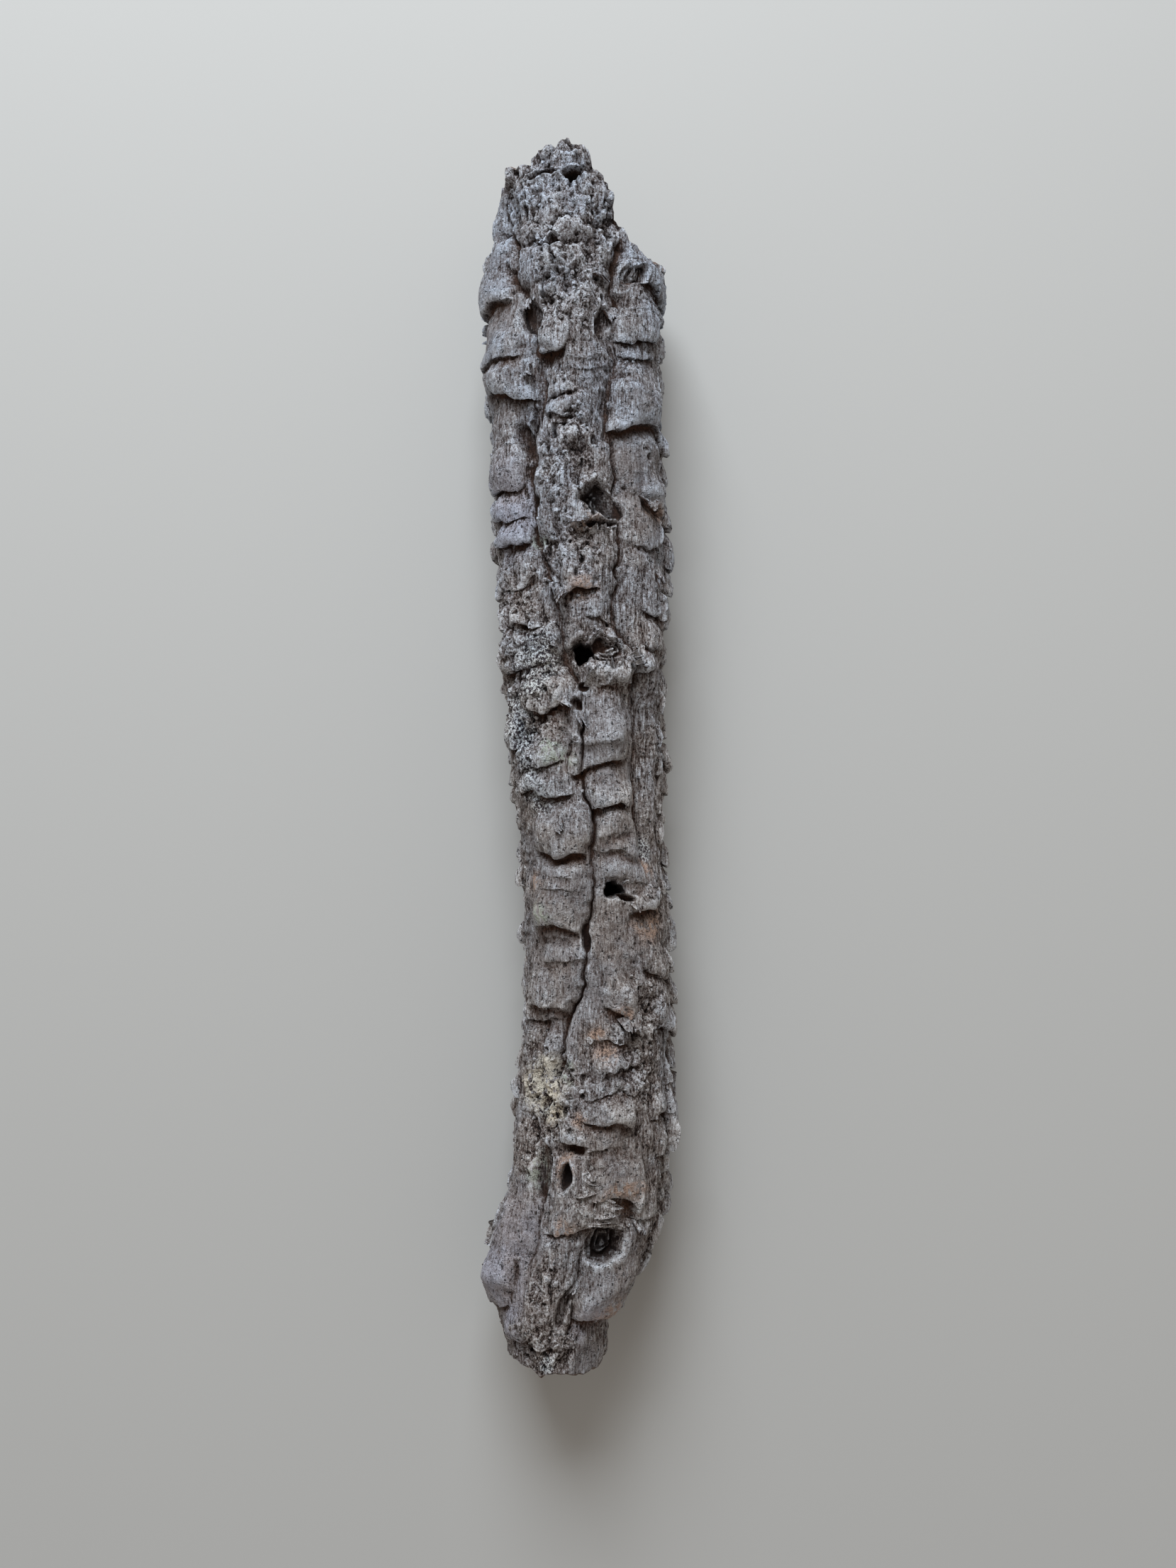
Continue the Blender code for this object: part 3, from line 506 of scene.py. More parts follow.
def blurred(field, across, up):
    """A field's running mean over a window of columns, closed round the tube, and of rows."""
    for axis, reach, mode in ((0, across, "wrap"), (1, up, "edge")):
        pad = [(0, 0), (0, 0)]
        pad[axis] = (reach + 1, reach)
        total = np.cumsum(np.pad(field, pad, mode=mode), axis=axis)
        width = 2 * reach + 1
        ahead = np.take(total, range(width, total.shape[axis]), axis=axis)
        behind = np.take(total, range(0, total.shape[axis] - width), axis=axis)
        field = (ahead - behind) / width
    return field


def small_ledges(points, height):
    """Small ledges in the rolls: a saw tooth along the limb, steep to the foot, that comes and goes."""
    phase = (height + 5.0 * noise(points, 17.0, 81) + 2.0 * noise(points, 6.0, 83)) / LEDGE_PITCH
    tooth = 1 - (phase - np.floor(phase))
    strength = np.clip(0.25 + 1.3 * noise(points, 21.0, 85), 0, 1)
    return LEDGE_DEPTH * strength * (tooth ** 1.5 - 0.4), strength * bell(1 - tooth, 0.16)


def ridges(points):
    """Fine ridges that run along the limb, with sharp grooves between them, in two widths."""
    wide = np.abs(noise(drawn_out(points, 0.1), 2.6, 91))
    narrow = np.abs(noise(drawn_out(points, 0.14), 1.5, 92))
    return 1.5 * np.minimum(wide, 0.45) + 0.9 * np.minimum(narrow, 0.45) - 0.5


def crumbled_relief(points, crust):
    """The crust's lumps, flakes and crumbs: relief, how much each point lies in a crack, the flakes' tint.

    The lumps are a noise folded at its middle, so that they part at sharp nooks. The flakes are a
    hilly noise cut into flat steps with steep edges. Both are longer along the limb.
    """
    relief, gaps, tint = (np.zeros(crust.shape) for _ in range(3))
    rough = crust > 0.04
    place = points[rough]
    place = place + 1.3 * np.stack([noise(place, 4.0, seed) for seed in (201, 202, 203)], -1)
    place = place + 2.4 * np.stack([noise(place, 9.0, seed) for seed in (204, 205, 206)], -1)
    lengthwise = drawn_out(place, 0.55)
    lump = np.abs(noise(lengthwise, 8.0, 10))
    hill = 2.2 * noise(lengthwise, 6.0, 7) + 1.6 * noise(lengthwise, 3.1, 9) + 0.6 * noise(place, 1.8, 8)
    step = np.floor(hill)
    share = hill - step
    edge, own = crumbs(drawn_out(place, 0.5), 2.6, 221)
    relief[rough] = (5.0 * np.minimum(lump, 0.5) ** 0.8 - 1.8
                     + 0.85 * (0.75 * (step + np.clip((share - 0.7) / 0.3, 0, 1)) + 0.25 * hill)
                     + 0.7 * own * np.clip(edge / 0.35, 0, 1))
    cracks = np.maximum(0.7 * bell(share - 0.68, 0.1), 0.4 * bell(edge, 0.1))
    gaps[rough] = np.maximum(cracks, bell(lump, 0.06))
    tint[rough] = (0.5 * noise(lengthwise, 4.0, 231) + 0.25 * own - 0.2 + 0.1 * np.clip(step, -2, 2)
                   + 0.5 * np.minimum(lump, 0.5))
    return relief, gaps, tint


def bark(height, angle):
    """The bark's relief, its broad part, how far its lips hang, and its marks.

    The marks are shares from 0 to 1 that the finish is coloured by.
    """
    base = limb_point(height, angle, 0.0)
    pulled_height = height + WARP_ALONG * (noise(base, 19.0, 41) + 0.5 * noise(base, 8.0, 43))
    pulled_angle = angle + WARP_ROUND * (noise(base, 24.0, 47) + 0.5 * noise(base, 9.0, 49))
    crust = np.clip(patch_share(pulled_height, pulled_angle, CRUSTS) + 0.35 * noise(base, 13.0, 87), 0, 1)
    calm = patch_share(pulled_height, pulled_angle, CALM_PATCHES) * (1 - crust)
    ragged_height = pulled_height + (1.3 - 0.6 * calm) * noise(base, 3.6, 61)
    ragged_angle = pulled_angle + 1.3 * noise(base, 3.9, 63)
    rolls, hang, under, painted_highlight = roll_relief(ragged_height, ragged_angle, ROLLS + side_rolls(), calm)
    uneven = 1 + 0.45 * noise(base, 15.0, 53)
    open_share = np.clip(0.2 + 1.6 * noise(base, 20.0, 89), 0, 1)
    valleys, crease = fissure_relief(pulled_height, ragged_angle, open_share, calm)
    knots, dark_knots_and_painted_shade = knot_relief(0.4 * height + 0.6 * ragged_height, 0.4 * angle + 0.6 * ragged_angle)
    ledges, lines = small_ledges(base, ragged_height)
    plain = (1 - crust) * (1 - 0.5 * calm)
    broad = (valleys + rolls * uneven + knots + step_relief(height, angle)
             + ring_relief(ragged_height, ragged_angle) + plain * (ledges + ridges(base))
             + 1.8 * noise(base, 27.0, 3) + (1.0 + 2.0 * crust) * noise(base, 11.0, 5))
    crumbled, gaps, tint = crumbled_relief(base, crust)
    relief = (broad + crust * crumbled
              + (1 - 0.6 * calm) * (0.4 * noise(base, 5.0, 93) + 0.5 * noise(base, 2.4, 75)))
    pits = np.clip(-noise(base, 3.4, 95) * 2.6 - 1.4, 0, 1) * np.clip(0.3 + crust, 0, 1)
    relief -= 2.4 * pits
    relief = np.maximum(relief, LEAST_WALL + BORE_RIB + BARK_SUNK - wall_left(base, height))
    # The marks for under a lip and on one, and for deep pits and open cracks, carry painted shade and
    # painted highlight for the finish; the pits' mark also stands for the knots' own blackish colour
    marks = dict(under=under, painted_highlight=painted_highlight, crust=crust, calm=calm, dark_knots_and_painted_shade=np.maximum(dark_knots_and_painted_shade, crease),
                 pits=np.maximum(pits, 0.35 * lines), gaps=crust * gaps, tint=crust * tint)
    for name, patches in COLOURED.items():
        marks[name] = patch_share(ragged_height, ragged_angle, patches)
    return relief, broad, hang, marks


def outer_face(height, angle):
    """The weathered face's points and marks, with how far each point stands out from those about it."""
    relief, broad, hang, marks = bark(height, angle)
    # How far the bark stands out over its neighbourhood, broadly and closely: the finish paints shade,
    # together with dirt, in low places and a highlight on high ones
    marks["hollow_shade_and_dirt"] = np.clip(broad - blurred(broad, *BROAD_WINDOW), *BROAD_LIMITS)
    marks["nook_shade_and_dirt"] = np.clip(relief - blurred(relief, *CLOSE_WINDOW), *CLOSE_LIMITS)
    points = limb_point(height, angle, relief - BARK_SUNK)
    points[..., 1] -= hang * np.clip(height / 30, 0, 1)
    rest = patch_share(height, angle, REST_SPOTS)
    points[..., 2] = np.maximum(points[..., 2], CLEARANCE) * (1 - rest)
    return points, marks


def wall_left(points, height):
    """How thick the limb left the wall: uneven, and thinner towards the foot."""
    wall = WALL + WALL_WAVE * noise(points, 60.0, 11) + 0.8 * noise(points, 18.0, 13)
    return wall * np.clip(0.72 + height / 140, 0.72, 1)


def bore_face(height, angle):
    """The inner face: smooth, with low ribs along the limb and an uneven wall."""
    base = limb_point(height, angle, 0.0)
    ribs = BORE_RIB * np.sin(np.radians(angle * 17) + 2.0 * noise(base, 90.0, 17))
    return limb_point(height, angle, ribs - wall_left(base, height))


def rim_heights(angle):
    """Heights of both broken rims round the tube, with their small teeth."""
    teeth = np.stack([np.sin(np.radians(angle)), np.cos(np.radians(angle)), 0 * angle], -1) * USUAL_RADIUS
    foot = along(angle, FOOT_RIM) + RIM_RAGGED * 0.5 * noise(teeth, 7.0, 19)
    head = along(angle, HEAD_RIM) + RIM_RAGGED * noise(teeth, 6.0, 23)
    return foot, head


def sheet():
    """The closed sheet's points and marks: up the outer face, over the head and down through the bore.

    The columns crowd towards the crown: an even turn less a share of its own sine.
    """
    turn = -pi + 2 * pi * (np.arange(STEPS_ROUND) / STEPS_ROUND)[:, None]
    angle = np.degrees(turn - CROWDED * np.sin(turn))
    foot, head = rim_heights(angle)
    foot_level, head_level = foot.mean(), head.mean()

    def heights(rows):
        level = np.linspace(foot_level, head_level, rows)[None, :]
        near_foot = np.clip(1 - (level - foot_level) / RIM_REACH, 0, 1) ** 2
        near_head = np.clip(1 - (head_level - level) / RIM_REACH, 0, 1) ** 2
        return level + (foot - foot_level) * near_foot + (head - head_level) * near_head

    outside = heights(ROWS_OUTSIDE)
    inside = heights(ROWS_INSIDE)[:, ::-1]
    outer, marks = outer_face(outside, angle + 0 * outside)
    inner = bore_face(inside, angle + 0 * inside)

    def rim(edge, far_edge, bulge):
        share = (np.arange(1, ROWS_RIM + 1) / (ROWS_RIM + 1))[None, :, None]
        band = edge[:, None] * (1 - share) + far_edge[:, None] * share
        rough = noise(band, 5.0, 31)
        band[..., 1] += bulge * (np.sin(np.pi * share[..., 0]) * 1.5 + 1.2 * rough)
        return band

    points = np.concatenate([outer, rim(outer[:, -1], inner[:, 0], 1), inner,
                             rim(inner[:, -1], outer[:, 0], -1)], axis=1)
    blank = np.zeros(points.shape[:2])
    every = {}
    for name, values in marks.items():
        every[name] = blank.copy()
        every[name][:, :ROWS_OUTSIDE] = values
    every["bore"] = blank.copy()
    every["bore"][:, ROWS_OUTSIDE + ROWS_RIM:-ROWS_RIM] = 1.0
    every["broken"] = blank.copy()
    every["broken"][:, ROWS_OUTSIDE:ROWS_OUTSIDE + ROWS_RIM] = 1.0
    every["broken"][:, -ROWS_RIM:] = 1.0
    every["whole"] = blank + 1.0
    return points, every


def to_frame(points):
    """Millimetres from the foot to metres in the part's frame."""
    return (points - np.array([MIDDLE_ACROSS, MIDDLE_HEIGHT, 0.0])) * MM


def marked_piece(name, mesh, marks):
    """An object over a mesh that carries marks at its points."""
    for mark, values in marks.items():
        held = mesh.attributes.new(mark, "FLOAT", "POINT")
        held.data.foreach_set("value", values.astype(np.float32).reshape(-1))
    piece = bpy.data.objects.new(name, mesh)
    bpy.context.scene.collection.objects.link(piece)
    return piece


def skin(name, points, marks, closed_up=True):
    """A mesh object over a grid of points, closed round the first way and, if asked, the second."""
    steps, rows = points.shape[:2]
    i = np.arange(steps)[:, None]
    j = np.arange(rows if closed_up else rows - 1)[None, :]
    corners = [(i % steps) * rows + j % rows, ((i + 1) % steps) * rows + j % rows,
               ((i + 1) % steps) * rows + (j + 1) % rows, (i % steps) * rows + (j + 1) % rows]
    quads = np.stack([corner + 0 * i + 0 * j for corner in corners], -1).reshape(-1, 4)
    mesh = bpy.data.meshes.new(name)
    mesh.vertices.add(steps * rows)
    mesh.loops.add(quads.size)
    mesh.polygons.add(len(quads))
    mesh.vertices.foreach_set("co", points.astype(np.float32).reshape(-1))
    mesh.polygons.foreach_set("loop_start", np.arange(0, quads.size, 4, dtype=np.int32))
    mesh.loops.foreach_set("vertex_index", quads.astype(np.int32).reshape(-1))
    mesh.update(calc_edges=True)
    return marked_piece(name, mesh, marks)


def hole_plug(number, middle, turn, half_length, half_width):
    """A plug for a knot hole: a wavy-sided barrel along the wall's thickness, closed at both ends."""
    outside, inside = limb_point(np.full(2, float(middle)), np.full(2, float(turn)), np.array(PLUG_REACH))
    spin = 2 * pi * (np.arange(36) / 36)[:, None]
    share = np.array([0.0, 0.12, 0.3, 0.5, 0.7, 0.85, 1.0])[None, :]
    reach = np.array([0.8, 0.84, 0.9, 0.94, 1.0, 1.08, 1.2])[None, :]
    wavy = reach * (1 + 0.16 * np.sin(3 * spin + number) + 0.08 * np.sin(7 * spin + 2.0 * number))
    axis = outside - inside
    tube_way = np.array([0.0, 1.0, 0.0])
    across = np.cross(tube_way, axis / np.linalg.norm(axis))
    points = (inside + share[..., None] * axis + (wavy * np.cos(spin))[..., None] * across * half_width
              + (wavy * np.sin(spin))[..., None] * tube_way * half_length)
    plug = skin(f"knot_plug_{number}", to_frame(points), {}, closed_up=False)
    body = bmesh.new()
    body.from_mesh(plug.data)
    bmesh.ops.holes_fill(body, edges=body.edges[:])
    bmesh.ops.recalc_face_normals(body, faces=body.faces[:])
    body.to_mesh(plug.data)
    body.free()
    return plug


def applied(piece):
    """The piece with its modifiers made part of its mesh."""
    shown = piece.evaluated_get(bpy.context.evaluated_depsgraph_get())
    mesh = bpy.data.meshes.new_from_object(shown)
    mesh.materials.clear()
    piece.modifiers.clear()
    piece.data = mesh
    return piece


def bark_tube():
    """The whole bark: the fine sheet, its two knot holes cut, then thinned where it is plain."""
    points, marks = sheet()
    tube = skin("weathered_bark", to_frame(points), marks)
    plugs = []
    for number, hole in enumerate(THROUGH_HOLES, 1):
        plugs.append(hole_plug(number, *hole))
        cut = tube.modifiers.new(f"knot hole {number}", "BOOLEAN")
        cut.object = plugs[-1]
        cut.solver = "MANIFOLD"
    applied(tube)
    for plug in plugs:
        bpy.data.objects.remove(plug)
    tube.data.calc_loop_triangles()
    thin = tube.modifiers.new("fewer facets where plain", "DECIMATE")
    thin.ratio = MOST_TRIANGLES / len(tube.data.loop_triangles)
    applied(tube)
    held_in_box(tube.data)
    tube.data.shade_smooth()
    tube.data.set_sharp_from_angle(angle=radians(SHARP_ANGLE))
    return tube


def held_in_box(mesh, edge=0.0):
    """Keeps the mesh in the solid's box: points near its sides and top are squeezed, others cut short."""
    places = np.empty(3 * len(mesh.vertices), np.float32)
    mesh.vertices.foreach_get("co", places)
    places = places.reshape(-1, 3)
    low, high = np.array(CAD_BOX[0]) + edge, np.array(CAD_BOX[1]) - edge
    for axis, side, limit in ((0, 1, high[0]), (0, -1, -low[0]), (2, 1, high[2])):
        past = np.maximum(side * places[:, axis] - limit + SQUEEZE, 0)
        places[:, axis] -= side * (past - SQUEEZE * (1 - np.exp(-past / SQUEEZE)))
    mesh.vertices.foreach_set("co", np.clip(places, low, high).astype(np.float32).reshape(-1))
    mesh.update()


def mesh_piece(name, points, faces, marks):
    """A mesh object from points in millimetres, three-cornered faces and marks at the points."""
    mesh = bpy.data.meshes.new(name)
    mesh.from_pydata(to_frame(points).tolist(), [], faces.tolist())
    held_in_box(mesh, EDGE)
    return marked_piece(name, mesh, marks)


def plate_faces(across, out):
    """Faces of a closed plate: a top grid, then a bottom grid, then the edge that joins them."""
    top = np.arange(across * out).reshape(across, out)
    bottom = top + across * out
    quads = [np.stack([top[:-1, :-1], top[:-1, 1:], top[1:, 1:], top[1:, :-1]], -1).reshape(-1, 4),
             np.stack([bottom[:-1, :-1], bottom[1:, :-1], bottom[1:, 1:], bottom[:-1, 1:]],
                      -1).reshape(-1, 4)]
    ring = np.concatenate([top[:-1, 0], top[-1, :-1], top[:0:-1, -1], top[0, :0:-1]])
    ahead = np.roll(ring, -1)
    quads.append(np.stack([ring, ahead, ahead + across * out, ring + across * out], -1))
    quads = np.concatenate(quads)
    return np.concatenate([quads[:, [0, 1, 2]], quads[:, [0, 2, 3]]])


def flap(number, height, angle, way, length, width, lift, curl):
    """One flap: a thin plate, sunk in the bark at its root, that lifts and thins to a toothed edge."""
    across = np.linspace(-1, 1, FLAP_STEPS[0])[:, None]
    out = np.linspace(0, 1, FLAP_STEPS[1])[None, :]
    edge = np.stack([across * 8, 0 * across + 31.0 * number, 0 * across], -1)
    teeth = 0.9 + 0.3 * noise(edge, 3.1, 301) + 0.35 * noise(edge, 1.3, 302)
    reach = length * out * teeth * (1 - 0.3 * across ** 4)
    turn = np.radians(way)
    side = across * width / 2 * (1 - 0.25 * out)
    heights = height - np.cos(turn) * reach + np.sin(turn) * side
    angles = angle + (np.sin(turn) * reach + np.cos(turn) * side) / ARC
    level = bark(np.array([float(height)]), np.array([float(angle)]))[0][0] - BARK_SUNK
    stand = level - 1.6 + (lift + 1.6) * out ** 1.2 + curl * 2 * across ** 2 * out
    base = limb_point(heights, angles, 0.0)
    rough = 0.5 * noise(base, 3.0, 303) + 0.5 * np.abs(noise(drawn_out(base, 0.2), 1.5, 92))
    thick = 1.6 - 0.9 * out
    top = limb_point(heights, angles, stand + thick / 2 + rough)
    bottom = limb_point(heights, angles, stand - thick / 2)
    shade = np.concatenate([np.zeros(across.size * out.size), np.ones(across.size * out.size)])
    return np.concatenate([top.reshape(-1, 3), bottom.reshape(-1, 3)]), plate_faces(*FLAP_STEPS), shade


def bark_flaps():
    """All the free-edged flaps, as one piece of closed plates."""
    points, faces, shades, tints, used = [], [], [], [], 0
    for number, (*row, pale) in enumerate(FLAPS):
        more, sides, shade = flap(number, *row)
        points.append(more)
        faces.append(sides + used)
        shades.append(shade)
        tints.append(pale + 0 * shade)
        used += len(more)
    shade = np.concatenate(shades)
    # The flaps' undersides take the painted shade of a lip's underside, and their tops the painted
    # highlight
    marks = {"under": shade, "painted_highlight": 1 - shade, "tint": np.concatenate(tints), "whole": 0 * shade + 1}
    piece = mesh_piece("bark_flaps", np.concatenate(points), np.concatenate(faces), marks)
    piece.data.shade_smooth()
    piece.data.set_sharp_from_angle(angle=radians(SHARP_ANGLE))
    return piece


def bark_scales():
    """Small flat scales: six-sided plates, tilted and partly sunk, mostly on the crust and lichens."""
    draw = np.random.RandomState(SCALE_SEED)
    heights = draw.uniform(0, SCALES_UP_TO, SCALES)
    angles = SCALES_ROUND_TO * draw.uniform(-1, 1, SCALES)
    foot, head = rim_heights(angles)
    relief, _, _, marks = bark(heights, angles)
    share = marks["crust"] * 0.6 + marks["cream"] + marks["blue"] + marks["green"] * 0.5
    inside = (heights > foot + SCALE_RIM_GAPS[0]) & (heights < head - SCALE_RIM_GAPS[1])
    inside = inside & (np.abs(angles) < SCALE_LAST_ANGLE) & (marks["dark_knots_and_painted_shade"] < 0.1)
    kept = (draw.uniform(0, 1, SCALES) < share * inside) & (np.abs(relief) < 5)
    heights, angles, relief = heights[kept], angles[kept], relief[kept]
    count = len(heights)
    middle = limb_point(heights, angles, relief - BARK_SUNK + 0.1)
    outward = limb_point(heights, angles, relief - BARK_SUNK + 1.1) - middle
    outward = outward + draw.normal(0, 0.42, (count, 3))
    outward /= np.linalg.norm(outward, axis=1, keepdims=True)
    side = np.cross(outward, draw.normal(0, 1, (count, 3)))
    side /= np.linalg.norm(side, axis=1, keepdims=True)
    other = np.cross(outward, side)
    size = draw.uniform(0.9, 2.3, (count, 1))
    turn = 2 * pi * (np.arange(SCALE_SIDES) + draw.uniform(0, 0.6, (count, SCALE_SIDES))) / SCALE_SIDES
    reach = size * draw.uniform(0.65, 1.15, (count, SCALE_SIDES))
    flat = ((reach * np.cos(turn))[..., None] * side[:, None]
            + (reach * np.sin(turn))[..., None] * other[:, None])
    lift = 0.35 * outward[:, None]
    points = np.concatenate([(middle + 0.55 * outward)[:, None], middle[:, None] + 0.85 * flat + lift,
                             middle[:, None] + flat - lift, (middle - 0.7 * outward)[:, None]], 1)
    k = np.arange(SCALE_SIDES)
    ahead = (k + 1) % SCALE_SIDES
    last = 2 * SCALE_SIDES + 1
    one = np.concatenate([np.stack([0 * k, k + 1, ahead + 1], -1),
                          np.stack([k + 1, k + 1 + SCALE_SIDES, ahead + 1 + SCALE_SIDES], -1),
                          np.stack([k + 1, ahead + 1 + SCALE_SIDES, ahead + 1], -1),
                          np.stack([0 * k + last, ahead + 1 + SCALE_SIDES, k + 1 + SCALE_SIDES], -1)])
    faces = (one[None] + (np.arange(count) * (last + 1))[:, None, None]).reshape(-1, 3)
    spread = {name: np.repeat(marks[name][kept], last + 1) for name in ("crust", "cream", "blue", "green")}
    spread["tint"] = np.repeat(draw.uniform(-0.5, 0.9, count), last + 1)
    spread["whole"] = 0 * spread["tint"] + 1
    return mesh_piece("bark_scales", points.reshape(-1, 3), faces, spread)


def sum_of(operation, swapped=False):
    """A method that adds a Math node over a value and another, or over the other and the value."""
    def add_node(value, other):
        pair = (other, value) if swapped else (value, other)
        return value.finish.add("ShaderNodeMath", {"operation": operation}, dict(enumerate(pair)))
    return add_node


class Value:
    """A number or colour socket of a finish: sums on it add Math nodes."""

    __add__ = sum_of("ADD")
    __radd__ = sum_of("ADD", swapped=True)
    __sub__ = sum_of("SUBTRACT")
    __rsub__ = sum_of("SUBTRACT", swapped=True)
    __mul__ = sum_of("MULTIPLY")
    __rmul__ = sum_of("MULTIPLY", swapped=True)
    least = sum_of("MINIMUM")
    most = sum_of("MAXIMUM")

    def __init__(self, finish, socket):
        self.finish = finish
        self.socket = socket

    def ramp(self, low, high):
        """0 below the low value and 1 above the high one, eased between them."""
        settings = {"interpolation_type": "SMOOTHSTEP"}
        return self.finish.add("ShaderNodeMapRange", settings, {0: self, 1: low, 2: high})


class Finish:
    """A material, with short ways to add its nodes."""

    def __init__(self, name):
        self.material = bpy.data.materials.new(name)
        self.material.use_nodes = True
        self.tree = self.material.node_tree
        self.shader = self.tree.nodes["Principled BSDF"]
        self.place = self.add("ShaderNodeTexCoord", {}, {}, "Object")

    def add(self, kind, settings, values, output=0):
        """Adds a node: its settings first, then its sockets' values or links. Returns one output."""
        node = self.tree.nodes.new(kind)
        for setting, value in settings.items():
            setattr(node, setting, value)
        for socket, value in values.items():
            self.feed(node.inputs[socket], value)
        return Value(self, node.outputs[output])

    def feed(self, socket, value):
        """Gives a socket a link, a number or a colour."""
        if isinstance(value, Value):
            self.tree.links.new(value.socket, socket)
        else:
            socket.default_value = value

    def mark(self, name):
        """A share that the mesh carries at its points."""
        return self.add("ShaderNodeAttribute", {"attribute_name": name}, {}, "Fac")

    def grain(self, across, tube_way, detail=3.0, roughness=0.55, seed=0.0):
        """Noise whose cells are so many to the millimetre across and along the tube."""
        scale = (across / MM, tube_way / MM, across / MM)
        cells = self.add("ShaderNodeVectorMath", {"operation": "MULTIPLY"}, {0: self.place, 1: scale})
        moved = self.add("ShaderNodeVectorMath", {"operation": "ADD"},
                         {0: cells, 1: (seed, seed * 1.7, seed * 0.6)})
        return self.add("ShaderNodeTexNoise", {},
                        {"Vector": moved, "Scale": 1.0, "Detail": detail, "Roughness": roughness})

    def up(self, low, high):
        """0 below a place along the tube and 1 past another, in metres."""
        return self.add("ShaderNodeSeparateXYZ", {}, {0: self.place}, "Y").ramp(low, high)

    def mixed(self, first, second, share):
        """From the first colour to the second as the share goes from 0 to 1."""
        return self.add("ShaderNodeMix", {"data_type": "RGBA"}, {0: share, 6: first, 7: second}, 2)


def srgb(red, green, blue):
    """A colour given as a screen shows it, from 0 to 255, as the shader wants it."""
    parts = [value / 255 for value in (red, green, blue)]
    return tuple(p / 12.92 if p <= 0.04045 else ((p + 0.055) / 1.055) ** 2.4 for p in parts) + (1.0,)


SOOT = srgb(30, 23, 22)
UMBER = srgb(88, 76, 71)
GREY = srgb(141, 136, 135)
ASH = srgb(180, 180, 182)
PALE = srgb(218, 223, 228)
# Painted shade brown, used under the lips and in deep hollows
PAINTED_SHADE_BROWN = srgb(98, 70, 54)
WARM = srgb(255, 247, 241)
# Bluish tint, for bluish blotches and for painted skylight towards the head
COOL_AND_SKYLIGHT = srgb(229, 239, 255)
FRESH = srgb(196, 164, 142)
RUST = srgb(122, 96, 78)
CREAM = srgb(228, 222, 204)
LILAC = srgb(182, 182, 196)
NIGHT = srgb(52, 50, 62)
ICE = srgb(222, 232, 236)
SAGE = srgb(190, 200, 186)
BORE = srgb(112, 84, 66)


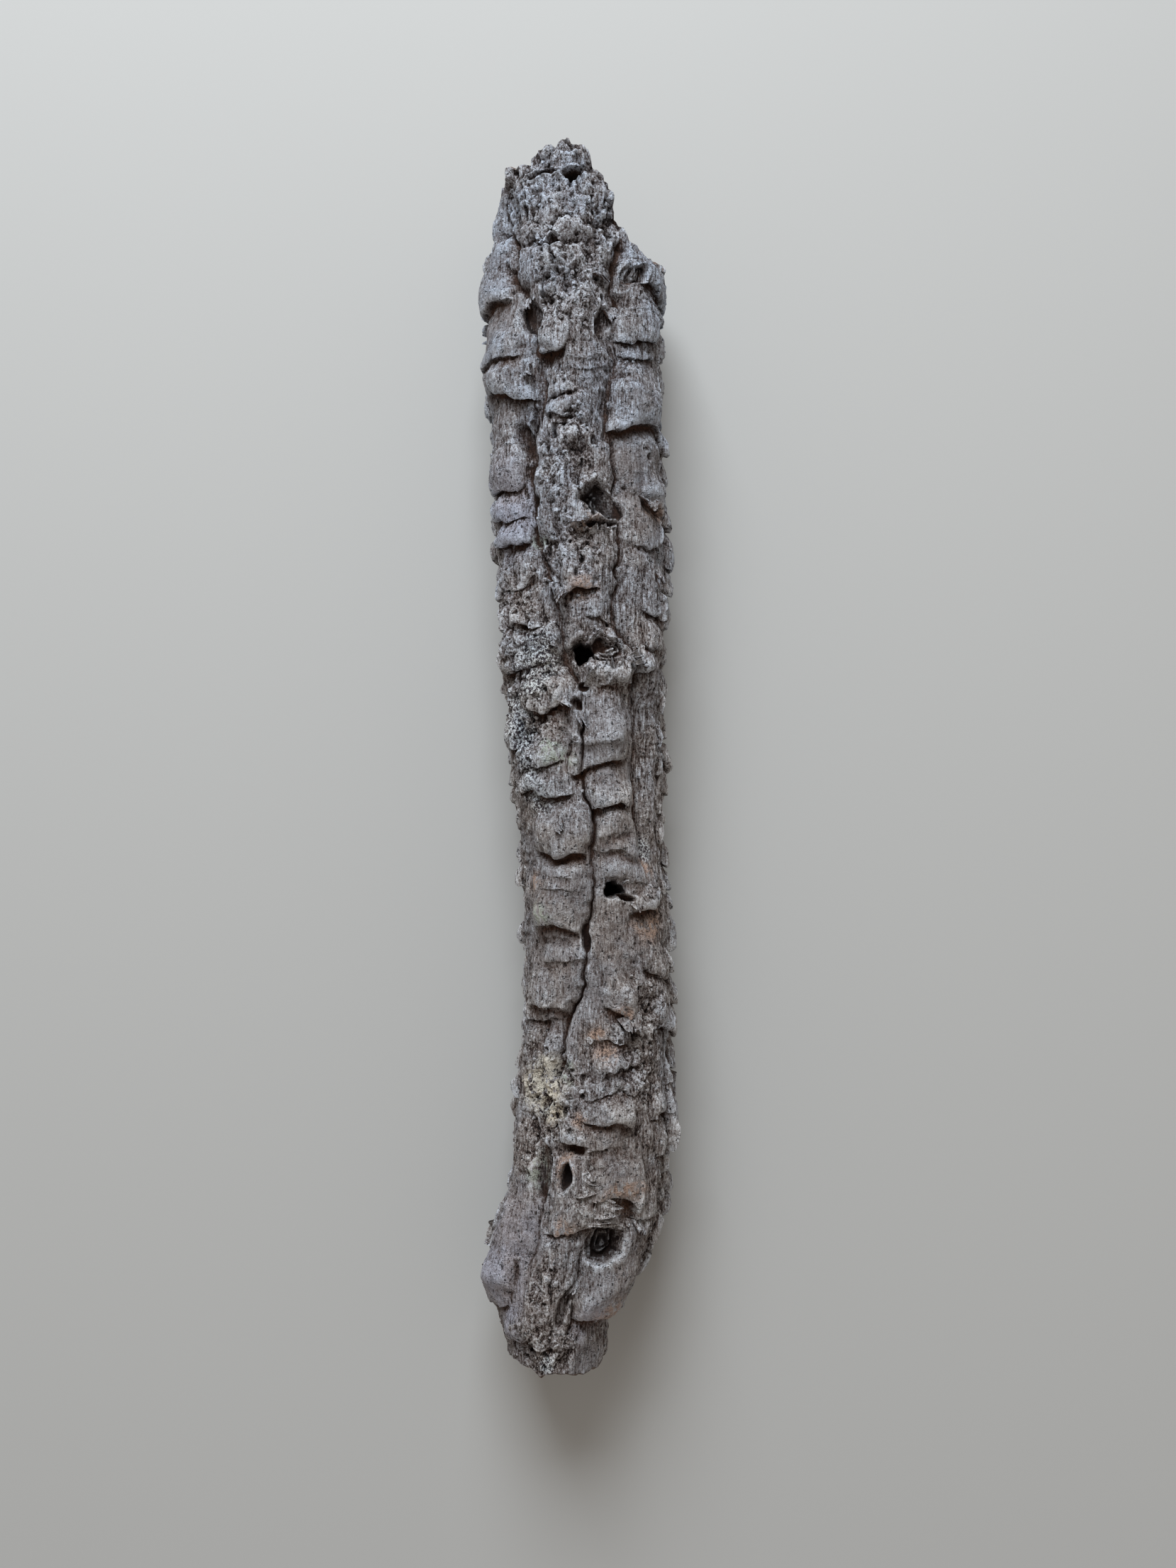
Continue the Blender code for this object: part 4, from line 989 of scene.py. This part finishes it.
def bark_finish():
    """Weathered cork: striped along the limb, crusted and lichened, with painted brown shade under its
    lips and a painted highlight on them.
    """
    finish = Finish("weathered_cork")
    mark = finish.mark
    crust, calm, bore = mark("crust"), mark("calm"), mark("bore")
    # Marks that the finish paints light from: shade, together with dirt, in hollows and nooks with a
    # highlight on what stands out, and shade under the lips
    hollow_shade_and_dirt, nook_shade_and_dirt, under = mark("hollow_shade_and_dirt"), mark("nook_shade_and_dirt"), mark("under")
    plain = 1.0 - crust
    stripe = finish.grain(0.6, 0.07, 3.0, 0.7)
    hair = finish.grain(1.1, 0.16, 3.0, 0.7, 3.0)
    blotch = finish.grain(0.035, 0.03, 3.0, 0.6, 7.0)
    mottle = finish.grain(0.26, 0.18, 5.0, 0.66, 11.0)
    fine = finish.grain(0.85, 0.65, 4.0, 0.75, 17.0)
    cracks = finish.grain(0.2, 0.6, 2.0, 0.5, 23.0)
    specks = finish.grain(0.55, 0.42, 2.0, 0.5, 29.0)

    # How pale the bark is: 0 is soot, 1 the palest ash
    tone = ((stripe - 0.5) * (0.8 - calm * 0.3) + (hair - 0.5) * (2.0 - calm * 0.9)) * (plain * 0.6 + 0.4)
    tone = tone + (fine - 0.5) * (crust * 1.7 + 1.5 - calm * 0.7)
    tone = tone + (mottle - 0.5) * (crust * 0.6 + 0.6 - calm * 0.35)
    # Painted light in the tone: paler on the tops of lips and where the bark stands out, darker under the
    # lips and in hollows and nooks, where the darkness also stands for dirt
    tone = tone + mark("painted_highlight") * 0.1 + hollow_shade_and_dirt * 0.055 + nook_shade_and_dirt * 0.22 + mark("tint") * 0.35
    tone = tone + (blotch - 0.5) * 0.3 + 0.49 - under * 0.1 - mark("gaps") * 0.25
    tone = tone + crust * finish.up(0.06, 0.2) * 0.11 + calm * 0.02 - hollow_shade_and_dirt.ramp(-2.0, -6.0) * 0.2

    # Painted shade: the brown under the lips and in deep hollows
    painted_recess_shade = (under * under * 0.8 + hollow_shade_and_dirt.ramp(-1.0, -4.0) * 0.5).least(0.85)
    speck = specks.ramp(0.37, 0.31)
    off_middle = cracks - 0.5
    hairline = (off_middle * off_middle).ramp(0.0003, 0.00005) * mottle.ramp(0.46, 0.56)
    # Near-black: the knots' own colour with painted shade in deep pits and open cracks, eased where the
    # bark stands out as a painted highlight; also the small pits
    black = (mark("dark_knots_and_painted_shade") * (0.97 - nook_shade_and_dirt.ramp(0.3, 1.0) * 0.3)).most(mark("pits") * 0.8)
    # Coats of colour, each over the one before, with its share
    coats = [(UMBER, tone.ramp(0.02, 0.26)), (GREY, tone.ramp(0.2, 0.52)),
             (ASH, tone.ramp(0.46, 0.78)), (PALE, tone.ramp(0.72, 1.0)),
             (FRESH, mark("fresh") * mottle.ramp(0.42, 0.54) * tone.ramp(0.1, 0.6) * 0.75),
             (LILAC, mark("lilac") * tone.ramp(0.1, 0.7) * 0.55),
             (CREAM, mark("cream") * mottle.ramp(0.4, 0.48) * tone.ramp(0.0, 0.4) * 0.95),
             (NIGHT, mark("blue") * fine.ramp(0.5, 0.45) * 0.85),
             (ICE, mark("blue") * fine.ramp(0.505, 0.545) * 0.95),
             (SAGE, mark("green") * mottle.ramp(0.45, 0.52) * tone.ramp(0.1, 0.5) * 0.8),
             # Painted shade: brown under the lips and in deep hollows, and near-black on the knot holes'
             # walls, which carry no marks
             (PAINTED_SHADE_BROWN, painted_recess_shade * fine.ramp(0.3, 0.5)), (SOOT, (1.0 - mark("whole")) * 0.9),
             (RUST, mark("broken") * 0.8), (BORE, bore * 0.9),
             (SOOT, (speck * 0.85).most(hairline * 0.85).most(black) * (1.0 - bore))]
    colour = SOOT
    for coat, share in coats:
        colour = finish.mixed(colour, coat, share)
    # The tint: random warm and bluish blotches, and painted bluish skylight that cools the bark towards
    # the head
    tint = finish.mixed(WARM, COOL_AND_SKYLIGHT, blotch.ramp(0.4, 0.6) * 0.35 + finish.up(-0.02, 0.24) * 0.4)
    colour = finish.add("ShaderNodeMix", {"data_type": "RGBA", "blend_type": "MULTIPLY"},
                        {0: 1.0, 6: colour, 7: tint}, 2)

    relief = (stripe + hair) * plain + fine * 1.0 + mottle * 1.2 - speck * 0.5 - hairline * 0.5
    bump = finish.add("ShaderNodeBump", {}, {"Strength": 1.0, "Distance": 1.2 * MM, "Height": relief})
    finish.feed(finish.shader.inputs["Base Color"], colour)
    finish.feed(finish.shader.inputs["Normal"], bump)
    finish.feed(finish.shader.inputs["Roughness"], 0.92)
    finish.feed(finish.shader.inputs["Specular IOR Level"], 0.25)
    return finish.material


def camera():
    """Looks down on the lying tube as the photograph looks at the leaning one."""
    lens = bpy.data.cameras.new("camera")
    lens.lens = LENS
    lens.sensor_width = FILM_WIDTH
    holder = bpy.data.objects.new("camera", lens)
    holder.matrix_world = Matrix.Translation(CAMERA_PLACE) @ Matrix.Rotation(radians(CAMERA_TILT), 4, "X")
    bpy.context.scene.collection.objects.link(holder)
    bpy.context.scene.camera = holder


def soft_light(name, place, aim, size, power, colour):
    """A large square light that looks at a point."""
    lamp = bpy.data.lights.new(name, "AREA")
    lamp.size = size
    lamp.energy = power
    lamp.color = colour
    holder = bpy.data.objects.new(name, lamp)
    holder.matrix_world = (Matrix.Translation(place)
                           @ (Vector(aim) - Vector(place)).to_track_quat("-Z", "Y").to_matrix().to_4x4())
    bpy.context.scene.collection.objects.link(holder)


def stage():
    """A plain pale floor and soft daylight that comes mostly from past the head."""
    floor = Finish("floor")
    floor.feed(floor.shader.inputs["Base Color"], srgb(186, 185, 182))
    floor.feed(floor.shader.inputs["Roughness"], 0.9)
    mesh = bpy.data.meshes.new("floor")
    half = FLOOR_SIZE / 2
    corners = [(-half, -half, 0), (half, -half, 0), (half, half, 0), (-half, half, 0)]
    mesh.from_pydata(corners, [], [(0, 1, 2, 3)])
    ground = bpy.data.objects.new("floor", mesh)
    ground.data.materials.append(floor.material)
    bpy.context.scene.collection.objects.link(ground)
    world = bpy.data.worlds.new("daylight")
    world.use_nodes = True
    world.node_tree.nodes["Background"].inputs["Color"].default_value = (1.0, 0.93, 0.86, 1.0)
    world.node_tree.nodes["Background"].inputs["Strength"].default_value = 0.36
    bpy.context.scene.world = world
    soft_light("sky_light", (-0.3, 1.9, 1.5), (0, 0, 0), 1.3, 74, (0.86, 0.93, 1.0))
    bpy.context.scene.view_settings.view_transform = "Standard"


def main():
    camera()
    stage()
    cork = bark_finish()
    for piece in (bark_tube(), bark_flaps(), bark_scales()):
        piece.data.materials.append(cork)
        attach(piece, "root")
        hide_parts(NODE)


main()
